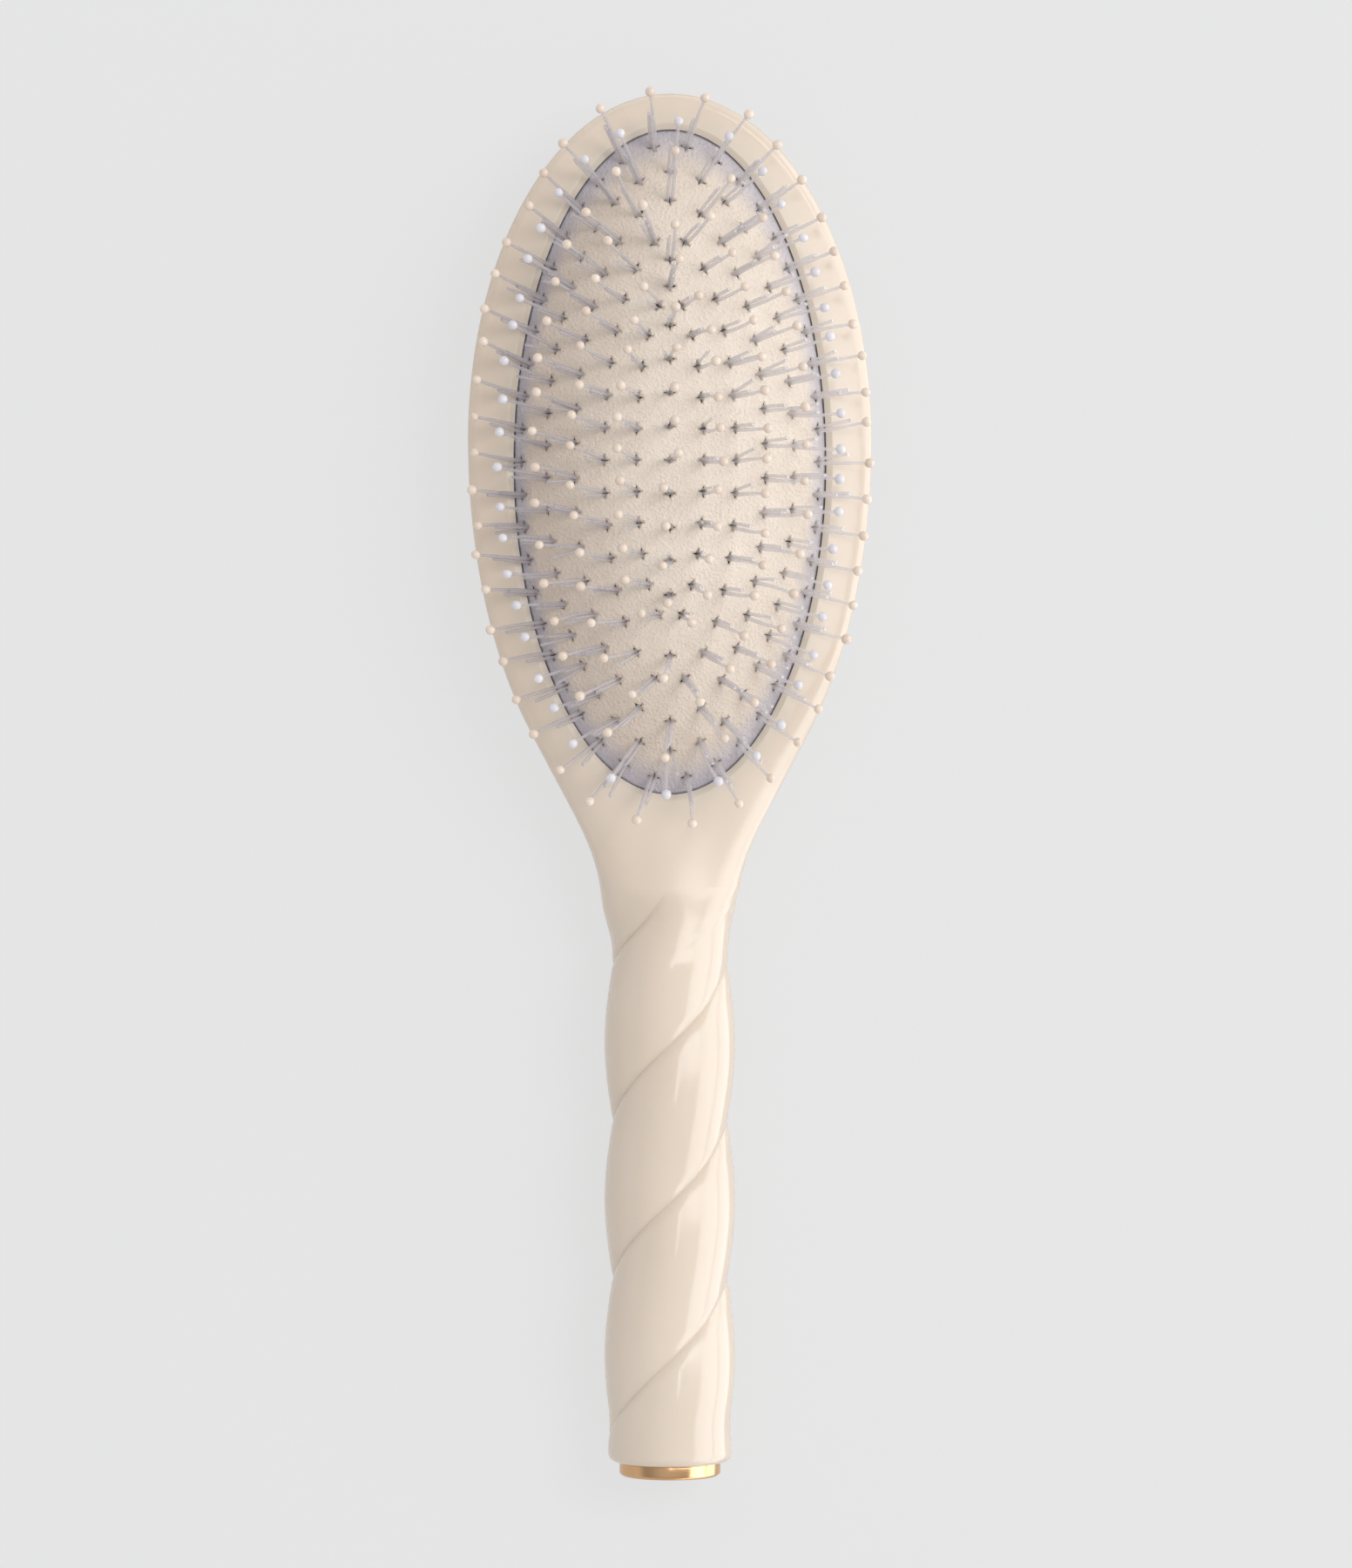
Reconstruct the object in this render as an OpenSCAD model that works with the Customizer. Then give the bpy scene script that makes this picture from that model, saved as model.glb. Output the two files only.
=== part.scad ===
// Oval cushion hairbrush for detangling, lying on its back with the bristles up.
// +Y runs to the tip of the head, +Z is the way the bristles point, and the table is at z = 0.

/* [Overall] */
// Length from the tip of the head to the face of the end cap
brush_len = 240; // [225:1:260]
// Width of the head at its widest
head_w = 70; // [67:1:80]
// Height of the flat rim round the cushion
rim_z = 19; // [18.5:0.5:23]

/* [Head] */
// Distance from the tip of the head to its widest line
tip_len = 60; // [58:1:64]
// Half length of the oval that the shoulders follow down to the neck
shoulder_len = 70; // [66:1:76]
// Height at which the side wall starts to turn under
belly_z = 13.5; // [12.5:0.5:14.5]
// Rounding of the outer edge of the rim
rim_round = 1.8; // [1:0.1:2.4]

/* [Neck and handle] */
// Width of the rounded shoulder on each side of the neck
shoulder_round = 7; // [5:0.5:8]
// Depth of that rounding
shoulder_drop = 4.2; // [3:0.2:4.4]
// Distance from the tip of the head to where the rim's edge starts to round more
shoulder_start = 92; // [88:1:100]
// Distance from the tip of the head to the even part of the handle
neck_end = 152; // [148:1:160]
// Distance from the tip of the head to the start of the crease
crease_start = 137.4; // [132:0.2:142]
// Radius of each of the two strands that twist round each other
strand_r = 10; // [9:0.1:11]
// Distance of each strand from the axis of the handle
strand_offset = 1.4; // [0.8:0.1:1.8]
// Length of the handle in which the strands change sides
half_turn = 27.3; // [24:0.1:32]
// Half width of the crease, measured square to it
crease_w = 2.2; // [1.6:0.1:2.6]
// Rounding of each strand where it dips into the crease
crease_round = 4.6; // [4:0.1:6]
// Rounding of the lower end of the handle
end_round = 1.5; // [0.8:0.1:2]

/* [End cap] */
// Diameter of the cap
cap_d = 17.6; // [15:0.2:18.4]
// Thickness of the cap
cap_t = 2.4; // [1.8:0.1:3]
// Bevel of the cap's outer edge
cap_bevel = 0.5; // [0.2:0.1:0.8]
// Diameter of the spigot that is glued into the handle
spigot_d = 10; // [8:0.2:12]
// Length of the spigot
spigot_len = 10; // [6:0.5:14]
// Bevel of the spigot's tip
spigot_bevel = 1; // [0.5:0.1:2]
// Clearance of the spigot in its bore, all round
spigot_clear = 0.05; // [0.02:0.01:0.1]
// Depth of the bore beyond the spigot's tip
bore_spare = 1.5; // [1:0.5:3]

/* [Cushion] */
// Width of the opening in the rim
opening_w = 54.1; // [52:0.1:55]
// Length of the opening in the rim
opening_len = 115.1; // [112:0.1:117]
// Distance from the tip of the head to the opening
opening_margin = 6.35; // [5.8:0.05:7.5]
// Bevel of the opening's edge
opening_bevel = 0.6; // [0.2:0.05:0.6]
// Gap between the edge of the crown and the opening, all round
opening_gap = 0.3; // [0.2:0.05:0.4]
// Height of the cushion's crown above its brim
crown_h = 6.6; // [5:0.1:7.4]
// Thickness of the rubber
rubber_t = 1.2; // [0.9:0.1:1.4]
// Thickness of the rim's lip over the cushion's brim
lip_t = 0.8; // [0.7:0.1:1]
// Width of the brim under the lip
brim_w = 2; // [1.4:0.1:2.2]
// Clearance of the brim in its groove
brim_clear = 0.15; // [0.1:0.05:0.2]
// Height of the air chamber's floor above the table
floor_z = 9; // [8.5:0.5:10]

/* [Tufts] */
// Length of a ball-tipped pin above the rubber
pin_len = 17; // [14:0.5:20]
// Thickness of a pin at its foot
pin_d = 0.8; // [0.65:0.05:0.9]
// Thickness of a pin under its ball
pin_tip_d = 0.65; // [0.5:0.05:0.8]
// Diameter of the ball on a pin
ball_d = 1.75; // [1.4:0.05:2]
// Length of the short filament beside each pin
filament_len = 10; // [7:0.5:12]
// Thickness of a filament
filament_d = 0.6; // [0.4:0.05:0.7]
// Space between a pin and its filament where they leave the rubber
strand_gap = 0.35; // [0.3:0.05:0.4]
// Angle between a pin and its filament
spread = 5; // [3:0.5:6]
// Lean of the outermost pins from the upright
lean_max = 30; // [20:1:32]
// Half diagonal of the hole that a tuft comes through
hole_r = 1.7; // [1.6:0.05:1.8]
// Distance between neighbouring tufts of the middle row
row_pitch = 5.8; // [5:0.1:5.8]
// Width of the band that anchors a ring of tufts under the rubber
band_w = 3; // [2.6:0.1:3.2]
// Thickness of that band
band_t = 1; // [0.8:0.1:1.4]
// Gap between the band and the rubber
band_gap = 0.3; // [0.25:0.05:0.5]

/* [Hidden] */
// Overrun of every cut past the face that it opens
over = 1;

// Shape of the back of the head in section: 2 is an ellipse, and more is squarer
back_power = 2.4;
// Where the oval of the tip starts and that of the shoulders ends, as angles round them
tip_angle = 89.7;
shoulder_angle = 45.6;
// The cross-sections crowd towards the tip by this power
tip_crowding = 1.2;
// How far each end of the neck's curve keeps its direction, as a share of the neck's length
neck_pull_share = 0.5;
// Radius of the round lower end, as a share of the strand's offset beyond its radius
end_offset_share = 0.55;
// Lengths in which the crease deepens at its start and dies out at its end, as shares of a half turn
rise_share = 0.22;
fade_share = 0.4;

// Cross-sections in each stretch of the body, from the tip to the lower end
tip_rows = 12;
shoulder_rows = 9;
neck_rows = 18;
grip_rows = 42;
end_rows = 3;
// Points from the top middle to the bottom middle: across the flat, round the edge, over the back
flat_n = 3;
edge_n = 4;
back_n = 10;

// Half width and half length of each ring of tufts, as shares of the opening's, from the inside out
ring_w_shares = [0.216, 0.42, 0.61, 0.79, 0.95];
ring_len_shares = [0.49, 0.67, 0.78, 0.868, 0.952];
// Half length of the crown's ridge, as a share of the opening's
ridge_share = 0.22;
// Tufts in each ring, and whether they stand half a step off the middle line (0.5) or on it (0)
ring_tufts = [22, 30, 34, 42, 46];
ring_phases = [0.5, 0.5, 0, 0, 0.5];
// Tufts in the middle row
row_tufts = 9;
// Tufts on the middle line beyond the row, as shares of the opening's half length
end_tuft_shares = [0.6, 0.52, -0.585];
// How far the ends of the innermost band reach to carry them
end_band_share = 0.615;
// Steps that even out the spacing round an oval
even_steps = 120;
// Sides of an oval cut or band, and points round the cushion
oval_sides = 72;
crown_n = 44;
// Contours of the crown from its edge to its ridge, as shares of its half width
crown_shares = [1, 0.95, 0.88, 0.79, 0.7, 0.61, 0.515, 0.42, 0.32, 0.216, 0.12, 0.05];
// Half height and half diagonal of the widest part of a ball, as shares of its radius
ball_waist_share = 0.42;
ball_wide_share = 1.12;

tip_y = brush_len / 2;
end_y = cap_t - brush_len / 2;
widest_y = tip_y - tip_len;
crease_y = tip_y - crease_start;
shoulder_y = tip_y - shoulder_start;
neck_end_y = tip_y - neck_end;
shoulder_end_y = widest_y - shoulder_len * sin(shoulder_angle);
handle_r = strand_r + strand_offset;
end_r = strand_r + strand_offset * end_offset_share;
rise_len = half_turn * rise_share;
fade_len = half_turn * fade_share;
// The crease runs at this angle to the handle's axis
crease_slope = atan(PI * handle_r / half_turn);

half_w = head_w / 2;
open_a = opening_w / 2;
open_b = opening_len / 2;
pad_y = tip_y - opening_margin - open_b;
pad_a = open_a - opening_gap;
pad_b = open_b - opening_gap;
// The flat of the rim runs past the groove before it turns into the handle
flat_end_y = pad_y - open_b - brim_w - brim_clear - over;
brim_top_z = rim_z - lip_t - brim_clear;
brim_low_z = brim_top_z - rubber_t;
last_ring = len(ring_tufts);
half_n = flat_n + edge_n + back_n + 1;
body_n = 2 * half_n;

cream = [0.89, 0.83, 0.76];
rubber_tone = [0.87, 0.84, 0.78];
nylon_tone = [0.76, 0.74, 0.73];
ball_tones = [[0.94, 0.86, 0.79], [0.94, 0.86, 0.79], [0.94, 0.86, 0.79],
    [0.92, 0.86, 0.83], [0.87, 0.88, 0.94], [0.93, 0.86, 0.82]];
brass_tone = [0.83, 0.67, 0.43];

function mix(a, b, s) = a + (b - a) * s;
function unit(v) = v / norm(v);
function smooth(s) = let (c = min(1, max(0, s))) c * c * (3 - 2 * c);
function oval(a, b, n) = [for (i = [0 : n - 1]) [a * cos(360 * i / n), b * sin(360 * i / n)]];
function join(lists) = [for (l = lists) for (v = l) v];

// A skin over rings of n points each, closed at both ends by a fan round one point
function skin_faces(rows, n) = concat(
    [for (i = [0 : rows - 2], j = [0 : n - 1]) [i * n + j, (i + 1) * n + j, i * n + (j + 1) % n]],
    [for (i = [0 : rows - 2], j = [0 : n - 1])
        [(i + 1) * n + j, (i + 1) * n + (j + 1) % n, i * n + (j + 1) % n]],
    [for (j = [0 : n - 1]) [rows * n, j, (j + 1) % n]],
    [for (j = [0 : n - 1]) [rows * n + 1, (rows - 1) * n + (j + 1) % n, (rows - 1) * n + j]]
);
module skin(rings, first_end, last_end) {
    polyhedron(
        points = concat(join(rings), [first_end, last_end]),
        faces = skin_faces(len(rings), len(rings[0]))
    );
}

// The body's outline seen from above: [half width, y] from the tip to the lower end
function neck_point(s) = let (
    run = shoulder_end_y - neck_end_y,
    pull = run * neck_pull_share,
    start = [half_w * cos(shoulder_angle), shoulder_end_y],
    slope = half_w * tan(shoulder_angle) / shoulder_len,
    a = start + pull * [-slope, -1],
    b = [handle_r, neck_end_y + pull],
    end = [handle_r, neck_end_y]
) start * pow(1 - s, 3) + a * 3 * s * pow(1 - s, 2) + b * 3 * s * s * (1 - s) + end * pow(s, 3);
// Radius over the two strands, which shrinks a little towards the lower end and rounds off there
function fade_out(y) = smooth((end_y + end_round + fade_len - y) / fade_len);
function grip_r(y) = mix(handle_r, end_r, fade_out(y));
outline = concat(
    [for (i = [0 : tip_rows - 1])
        let (a = tip_angle * (1 - pow(i / tip_rows, tip_crowding)))
        [half_w * cos(a), widest_y + tip_len * sin(a)]],
    [for (i = [0 : shoulder_rows - 1])
        let (a = shoulder_angle * i / shoulder_rows)
        [half_w * cos(a), widest_y - shoulder_len * sin(a)]],
    [for (i = [0 : neck_rows - 1]) neck_point(i / neck_rows)],
    [for (i = [0 : grip_rows])
        let (y = mix(neck_end_y, end_y + end_round, i / grip_rows))
        [grip_r(y), y]],
    [for (i = [1 : end_rows])
        let (a = 90 * i / end_rows)
        [end_r - end_round * (1 - cos(a)), end_y + end_round * (1 - sin(a))]]
);
// Outward normal of the outline at its point i
function outline_normal(i) = let (
    before = i == 0 ? [-outline[0][0], outline[0][1]] : outline[i - 1],
    after = outline[min(i + 1, len(outline) - 1)],
    run = after - before
) unit([-run[1], run[0]]);

// Height of the back's lowest line, which rises towards the tip
function back_z(y) = let (u = max(0, (y - widest_y) / tip_len))
    belly_z * (1 - pow(1 - pow(u, back_power), 1 / back_power));
// The rim's edge is rounded a little round the head, and widely at the neck
function shoulder_share(y) = smooth((shoulder_y - y) / (shoulder_y - flat_end_y));
// Point k of half a section of the head, from the top middle to the bottom middle, on side +1 or -1
function head_point(i, k, side) = let (
    w = outline[i][0],
    y = outline[i][1],
    normal = outline_normal(i),
    round_w = mix(rim_round, shoulder_round, shoulder_share(y)),
    round_h = mix(rim_round, shoulder_drop, shoulder_share(y)),
    a = 90 * (k - flat_n) / edge_n,
    b = 90 * (k - flat_n - edge_n - 1) / back_n,
    low = back_z(y)
) k <= flat_n
    ? [side * k / flat_n * (w - round_w * normal[0]), y - round_w * normal[1], rim_z]
    : k <= flat_n + edge_n
        ? let (inset = round_w * (1 - sin(a)))
            [side * (w - inset * normal[0]), y - inset * normal[1], rim_z - round_h * (1 - cos(a))]
        : [side * w * pow(max(0, cos(b)), 2 / back_power), y,
            belly_z - (belly_z - low) * pow(sin(b), 2 / back_power)];
// Angle of point j round the handle, which turns with y so that creases run along j = 0 and halfway
function handle_angle(y, j) = 90 + 180 * max(0, crease_y - y) / half_turn + 360 * j / body_n;
function handle_point(i, j) = let (
    w = outline[i][0],
    y = outline[i][1],
    angle = handle_angle(y, j),
    up = y < end_y + end_round ? w : grip_r(y)
) [w * cos(angle), y, handle_r + up * sin(angle)];
// How far the two strands, side by side in section, fall short of the round handle at point j
function groove(y, j) = let (
    depth_share = smooth((crease_y - y) / rise_len) * (1 - fade_out(y)),
    offset = strand_offset * depth_share,
    from_crease = (360 * j / body_n) % 180,
    to_crease = min(from_crease, 180 - from_crease) * PI / 180 * handle_r * cos(crease_slope),
    dip = max(0, crease_w - to_crease),
    strand = sqrt(pow(handle_r - offset, 2) - pow(offset * cos(from_crease), 2))
) offset * sin(from_crease) + strand - handle_r
    - depth_share * (crease_round - sqrt(crease_round * crease_round - dip * dip));
function body_ring(i) = let (
    y = outline[i][1],
    s = smooth((flat_end_y - y) / (flat_end_y - neck_end_y))
) [for (j = [0 : body_n - 1]) let (angle = handle_angle(y, j))
    mix(head_point(i, min(j, body_n - j), j <= half_n ? -1 : 1), handle_point(i, j), s)
        + groove(y, j) * [cos(angle), 0, sin(angle)]];

module brush_body() color(cream) difference() {
    skin([for (i = [0 : len(outline) - 1]) body_ring(i)],
        [0, tip_y, rim_z - rim_round], [0, end_y, handle_r]);
    // Air chamber under the cushion
    translate([0, pad_y, floor_z])
        linear_extrude(rim_z - floor_z + over) polygon(oval(open_a, open_b, oval_sides));
    // Groove that the cushion's brim snaps into
    translate([0, pad_y, brim_low_z - brim_clear])
        linear_extrude(rubber_t + 2 * brim_clear)
            polygon(oval(open_a + brim_w + brim_clear, open_b + brim_w + brim_clear, oval_sides));
    // Bevelled mouth
    translate([0, pad_y, rim_z - opening_bevel])
        linear_extrude(2 * opening_bevel,
            scale = [1 + 2 * opening_bevel / open_a, 1 + 2 * opening_bevel / open_b])
            polygon(oval(open_a, open_b, oval_sides));
    // Bore for the cap's spigot
    translate([0, end_y - over, handle_r]) rotate([-90, 0, 0])
        cylinder(h = over + spigot_len + bore_spare, r = spigot_d / 2 + spigot_clear, $fn = 64);
}

module end_cap() color(brass_tone)
    translate([0, end_y - cap_t, handle_r]) rotate([-90, 0, 0])
        rotate_extrude($fn = 96) polygon([
            [0, 0],
            [cap_d / 2 - cap_bevel, 0],
            [cap_d / 2, cap_bevel],
            [cap_d / 2, cap_t],
            [spigot_d / 2, cap_t],
            [spigot_d / 2, cap_t + spigot_len - spigot_bevel],
            [spigot_d / 2 - spigot_bevel, cap_t + spigot_len],
            [0, cap_t + spigot_len]
        ]);

// The crown's contours run from its edge at t = 1 to a straight ridge at t = 0
contour_table = concat([[0, ridge_share]],
    [for (k = [0 : last_ring - 1]) [ring_w_shares[k], ring_len_shares[k]]], [[1, 1]]);
width_table = [for (row = contour_table) [row[1], row[0]]];
function crown_z(t) = brim_top_z + crown_h * (1 - t * t);
function crown_ring(t, z) = [for (p = oval(pad_a * t, pad_b * lookup(t, contour_table), crown_n))
    [p[0], pad_y + p[1], z]];
function brim_ring(z) = [for (p = oval(open_a + brim_w, open_b + brim_w, crown_n))
    [p[0], pad_y + p[1], z]];
crown_last = len(crown_shares) - 1;
ridge_z = crown_z(crown_shares[crown_last]);

module rubber_cushion() color(rubber_tone) difference() {
    skin(
        concat(
            [for (i = [crown_last : -1 : 0]) crown_ring(crown_shares[i], crown_z(crown_shares[i]))],
            [brim_ring(brim_top_z), brim_ring(brim_low_z)],
            [for (t = crown_shares) crown_ring(t, crown_z(t) - rubber_t)]
        ),
        [0, pad_y, ridge_z], [0, pad_y, ridge_z - rubber_t]
    );
    for (k = [0 : last_ring], tuft = ring_of_tufts(k))
        multmatrix(frame_matrix(tuft)) translate([0, 0, -2 * rubber_t - over])
            cylinder(h = 3 * rubber_t + 2 * over, r = hole_r, $fn = 4);
}

// A tuft is [root on the crown, along its pin, round its ring, across its ring]
function make_tuft(x, y, normal, t) = let (
    lean = lean_max * sin(90 * t),
    along = [sin(lean) * normal[0], sin(lean) * normal[1], cos(lean)],
    around = [-normal[1], normal[0], 0]
) [[x, pad_y + y, crown_z(t)], along, around, cross(along, around)];
// Angles of n tufts spaced evenly round an oval, measured from the tip's side
function even_angles(a, b, n, phase) = let (
    p = [for (i = [0 : even_steps]) [a * sin(360 * i / even_steps), b * cos(360 * i / even_steps)]],
    run = [for (i = 0, s = 0; i <= even_steps; s = s + (i < even_steps ? norm(p[i + 1] - p[i]) : 0),
        i = i + 1) s],
    table = [for (i = [0 : even_steps]) [run[i], 360 * i / even_steps]]
) [for (i = [0 : n - 1]) lookup(run[even_steps] * (i + phase) / n, table)];
function oval_tufts(a, b, n, phase, t) = [for (angle = even_angles(a, b, n, phase))
    make_tuft(a * sin(angle), b * cos(angle), unit([sin(angle) / a, cos(angle) / b]), t)];
// A tuft on the middle line leans towards its own end of the cushion
function line_tuft(y) = make_tuft(0, y, [0, y < 0 ? -1 : 1], lookup(abs(y) / open_b, width_table));
function ring_a(k) = open_a * ring_w_shares[k - 1];
function ring_b(k) = open_b * ring_len_shares[k - 1];
function ring_of_tufts(k) = k == 0
    ? [for (i = [0 : row_tufts - 1]) line_tuft(row_pitch * (i - (row_tufts - 1) / 2))]
    : concat(
        oval_tufts(ring_a(k), ring_b(k), ring_tufts[k - 1], ring_phases[k - 1], ring_w_shares[k - 1]),
        k == 1 ? [for (share = end_tuft_shares) line_tuft(open_b * share)] : []
    );
function frame_matrix(tuft) = [for (i = [0 : 2]) [tuft[2][i], tuft[3][i], tuft[1][i], tuft[0][i]]];

// The band under each ring hangs below the lowest rubber over it, and is drawn in as the pins lean
function band_lean(k) = k == 0 ? 0 : lean_max * sin(90 * ring_w_shares[k - 1]);
function band_shift(k) = (rubber_t + band_gap + band_t) * tan(band_lean(k));
function band_edge_share(k) = k == 0
    ? lookup((row_pitch * (row_tufts - 1) / 2 + band_w / 2) / open_b, width_table)
    : k == 1
        ? lookup(end_band_share, width_table)
        : (ring_a(k) - band_shift(k) + band_w / 2) / pad_a;
function band_top(k) = crown_z(min(1, band_edge_share(k))) - rubber_t - band_gap;
module oval_band(k) {
    a = ring_a(k) - band_shift(k);
    b = ring_b(k) - band_shift(k);
    long_b = k == 1 ? open_b * end_band_share : b + band_w / 2;
    translate([0, pad_y, band_top(k) - band_t]) linear_extrude(band_t) difference() {
        polygon(oval(a + band_w / 2, long_b, oval_sides));
        polygon(oval(a - band_w / 2, b - band_w / 2, oval_sides));
    }
}
module straight_band() {
    reach = row_pitch * (row_tufts - 1) / 2;
    translate([0, pad_y, band_top(0) - band_t]) linear_extrude(band_t) hull() {
        translate([0, reach]) circle(d = band_w, $fn = 24);
        translate([0, -reach]) circle(d = band_w, $fn = 24);
    }
}

// A strand leaves the rubber beside the tuft's middle, and its foot stands halfway into the band
function strand_axis(tuft, tilt) = unit(tuft[1] + tuft[2] * tan(tilt));
function strand_foot(tuft, shift, axis, z) = let (mouth = tuft[0] + tuft[2] * shift)
    mouth - axis * (mouth[2] - z) / axis[2];
function corners(centre, tuft, r, n) = [for (i = [0 : n - 1]) let (a = 360 * (i + 1 / 2) / n)
    centre + tuft[2] * r * cos(a) + tuft[3] * r * sin(a)];
pin_side = -(filament_d + strand_gap) / 2;
filament_side = (pin_d + strand_gap) / 2;
pin_tip_corner = pin_tip_d / sqrt(2);
ball_r = ball_d / 2;
// The ball's lowest square is the top of the pin, and its upper square is as far above the middle
ball_drop = sqrt(ball_r * ball_r - pin_tip_corner * pin_tip_corner);
function pin_axis(tuft) = strand_axis(tuft, -spread / 2);
function pin_top(tuft) = tuft[0] + tuft[2] * pin_side + pin_axis(tuft) * (pin_len - ball_r - ball_drop);
function pin_points(tuft, z) = concat(
    corners(strand_foot(tuft, pin_side, pin_axis(tuft), z), tuft, pin_d / sqrt(2), 4),
    corners(pin_top(tuft), tuft, pin_tip_corner, 4)
);
function filament_points(tuft, z) = let (axis = strand_axis(tuft, spread / 2)) concat(
    corners(strand_foot(tuft, filament_side, axis, z), tuft, filament_d / sqrt(3), 3),
    corners(tuft[0] + tuft[2] * filament_side + axis * filament_len, tuft, filament_d / sqrt(3), 3)
);
function ball_points(tuft) = let (foot = pin_top(tuft), axis = pin_axis(tuft)) concat(
    corners(foot, tuft, pin_tip_corner, 4),
    corners(foot + axis * (ball_drop - ball_r * ball_waist_share), tuft, ball_r * ball_wide_share, 4),
    corners(foot + axis * (ball_drop + ball_r * ball_waist_share), tuft, ball_r * ball_wide_share, 4),
    [foot + axis * (ball_drop + ball_r)]
);
// Faces of straight strands of n sides, and of balls, each shifted to the points of its own copy
function tube_faces(n) = concat(
    [for (i = [0 : n - 1]) [i, n + i, (i + 1) % n]],
    [for (i = [0 : n - 1]) [n + i, n + (i + 1) % n, (i + 1) % n]],
    [for (i = [1 : n - 2]) [0, i, i + 1]],
    [for (i = [1 : n - 2]) [n, n + i + 1, n + i]]
);
function ball_faces() = concat(
    [for (level = [0, 4], i = [0 : 3]) [level + i, level + 4 + i, level + (i + 1) % 4]],
    [for (level = [0, 4], i = [0 : 3])
        [level + 4 + i, level + 4 + (i + 1) % 4, level + (i + 1) % 4]],
    [[0, 1, 2], [0, 2, 3]],
    [for (i = [0 : 3]) [8 + i, 12, 8 + (i + 1) % 4]]
);
module copies(point_lists, faces) {
    polyhedron(
        points = join(point_lists),
        faces = [for (c = [0 : len(point_lists) - 1], f = faces) [for (v = f) v + c * len(point_lists[0])]]
    );
}

module bristle_ring(k) {
    tufts = ring_of_tufts(k);
    z = band_top(k) - band_t / 2;
    color(nylon_tone) union() {
        if (k == 0) straight_band();
        else oval_band(k);
        copies([for (tuft = tufts) pin_points(tuft, z)], tube_faces(4));
        copies([for (tuft = tufts) filament_points(tuft, z)], tube_faces(3));
    }
}
module ball_tips(k) color(ball_tones[k])
    copies([for (tuft = ring_of_tufts(k)) ball_points(tuft)], ball_faces());

brush_body();
rubber_cushion();
end_cap();
bristle_ring(0);  // bristle_ring_0
bristle_ring(1);  // bristle_ring_1
bristle_ring(2);  // bristle_ring_2
bristle_ring(3);  // bristle_ring_3
bristle_ring(4);  // bristle_ring_4
bristle_ring(5);  // bristle_ring_5
ball_tips(0);  // ball_tips_0
ball_tips(1);  // ball_tips_1
ball_tips(2);  // ball_tips_2
ball_tips(3);  // ball_tips_3
ball_tips(4);  // ball_tips_4
ball_tips(5);  // ball_tips_5
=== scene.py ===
# %% [markdown]
# # A cushion hairbrush, dressed for its portrait
#
# The brush has a cream resin body with a twisted handle, a rubber cushion full of
# ball-tipped pins, and a brass cap at the lower end. Its construction is fixed and
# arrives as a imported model. This lesson builds the finished surfaces round it, piece
# by piece, and never moves what the construction has placed.

# %% Load the construction
import math

import bmesh
import bpy
import numpy as np
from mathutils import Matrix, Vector, geometry


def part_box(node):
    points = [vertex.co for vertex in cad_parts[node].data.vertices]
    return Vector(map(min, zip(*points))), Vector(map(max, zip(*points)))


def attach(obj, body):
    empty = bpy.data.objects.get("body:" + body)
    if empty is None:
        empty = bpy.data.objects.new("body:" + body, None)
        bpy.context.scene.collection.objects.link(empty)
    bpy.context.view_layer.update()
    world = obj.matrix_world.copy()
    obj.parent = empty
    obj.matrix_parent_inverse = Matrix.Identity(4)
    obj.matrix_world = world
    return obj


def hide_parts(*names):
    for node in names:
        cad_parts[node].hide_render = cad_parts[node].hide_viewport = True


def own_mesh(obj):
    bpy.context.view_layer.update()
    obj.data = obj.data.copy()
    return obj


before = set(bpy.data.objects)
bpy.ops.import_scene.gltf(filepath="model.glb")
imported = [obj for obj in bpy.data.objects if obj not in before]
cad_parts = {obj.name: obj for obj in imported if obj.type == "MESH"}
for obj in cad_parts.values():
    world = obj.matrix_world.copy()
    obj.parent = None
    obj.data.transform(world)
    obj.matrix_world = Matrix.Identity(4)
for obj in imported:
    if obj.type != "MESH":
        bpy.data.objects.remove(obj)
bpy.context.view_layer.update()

MM = 0.001


def put_in_scene(name, data):
    """A new object that holds the data, linked into the scene."""
    piece = bpy.data.objects.new(name, data)
    bpy.context.scene.collection.objects.link(piece)
    return piece


# %% [markdown]
# ## The camera
#
# The portrait looks taken from straight above with a long lens. One scale turns its pixels
# into millimetres on the rim, and the brush's own middle lies at a known pixel, so the
# camera's place and its lens follow from those few numbers. A long lens from a metre
# away keeps the pins at the edge from leaning in the picture more than they really do.

# %% Place the camera
RIM_Z = 19 * MM
PORTRAIT_WIDE = 1552
PORTRAIT_TALL = 1800
MM_PER_PIXEL = 0.15066
MIDDLE_PIXEL = (769.0, 902.5)
CAMERA_DISTANCE = 0.98
SENSOR_TALL = 24.0
NEAR_CLIP = 0.01

camera_data = bpy.data.cameras.new("portrait_camera")
camera = put_in_scene("portrait_camera", camera_data)
camera.location = (
    (PORTRAIT_WIDE / 2 - MIDDLE_PIXEL[0]) * MM_PER_PIXEL * MM,
    (MIDDLE_PIXEL[1] - PORTRAIT_TALL / 2) * MM_PER_PIXEL * MM,
    RIM_Z + CAMERA_DISTANCE,
)
camera_data.sensor_fit = "VERTICAL"
camera_data.sensor_height = SENSOR_TALL
camera_data.lens = SENSOR_TALL * CAMERA_DISTANCE / (PORTRAIT_TALL * MM_PER_PIXEL * MM)
camera_data.clip_start = NEAR_CLIP
bpy.context.scene.camera = camera
print(f"lens {camera_data.lens:.1f} mm at {CAMERA_DISTANCE} m")

# %% [markdown]
# ## A helper for finishes
#
# Every finish here is a node material. The helper makes the material and offers short
# ways to add clouds, colour ramps and bumps, so that each finish later in the lesson
# reads as a list of what the real surface has: its colour, its grain and its gloss.
# Values that are the same all over a surface go straight onto the shader's sockets.

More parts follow.
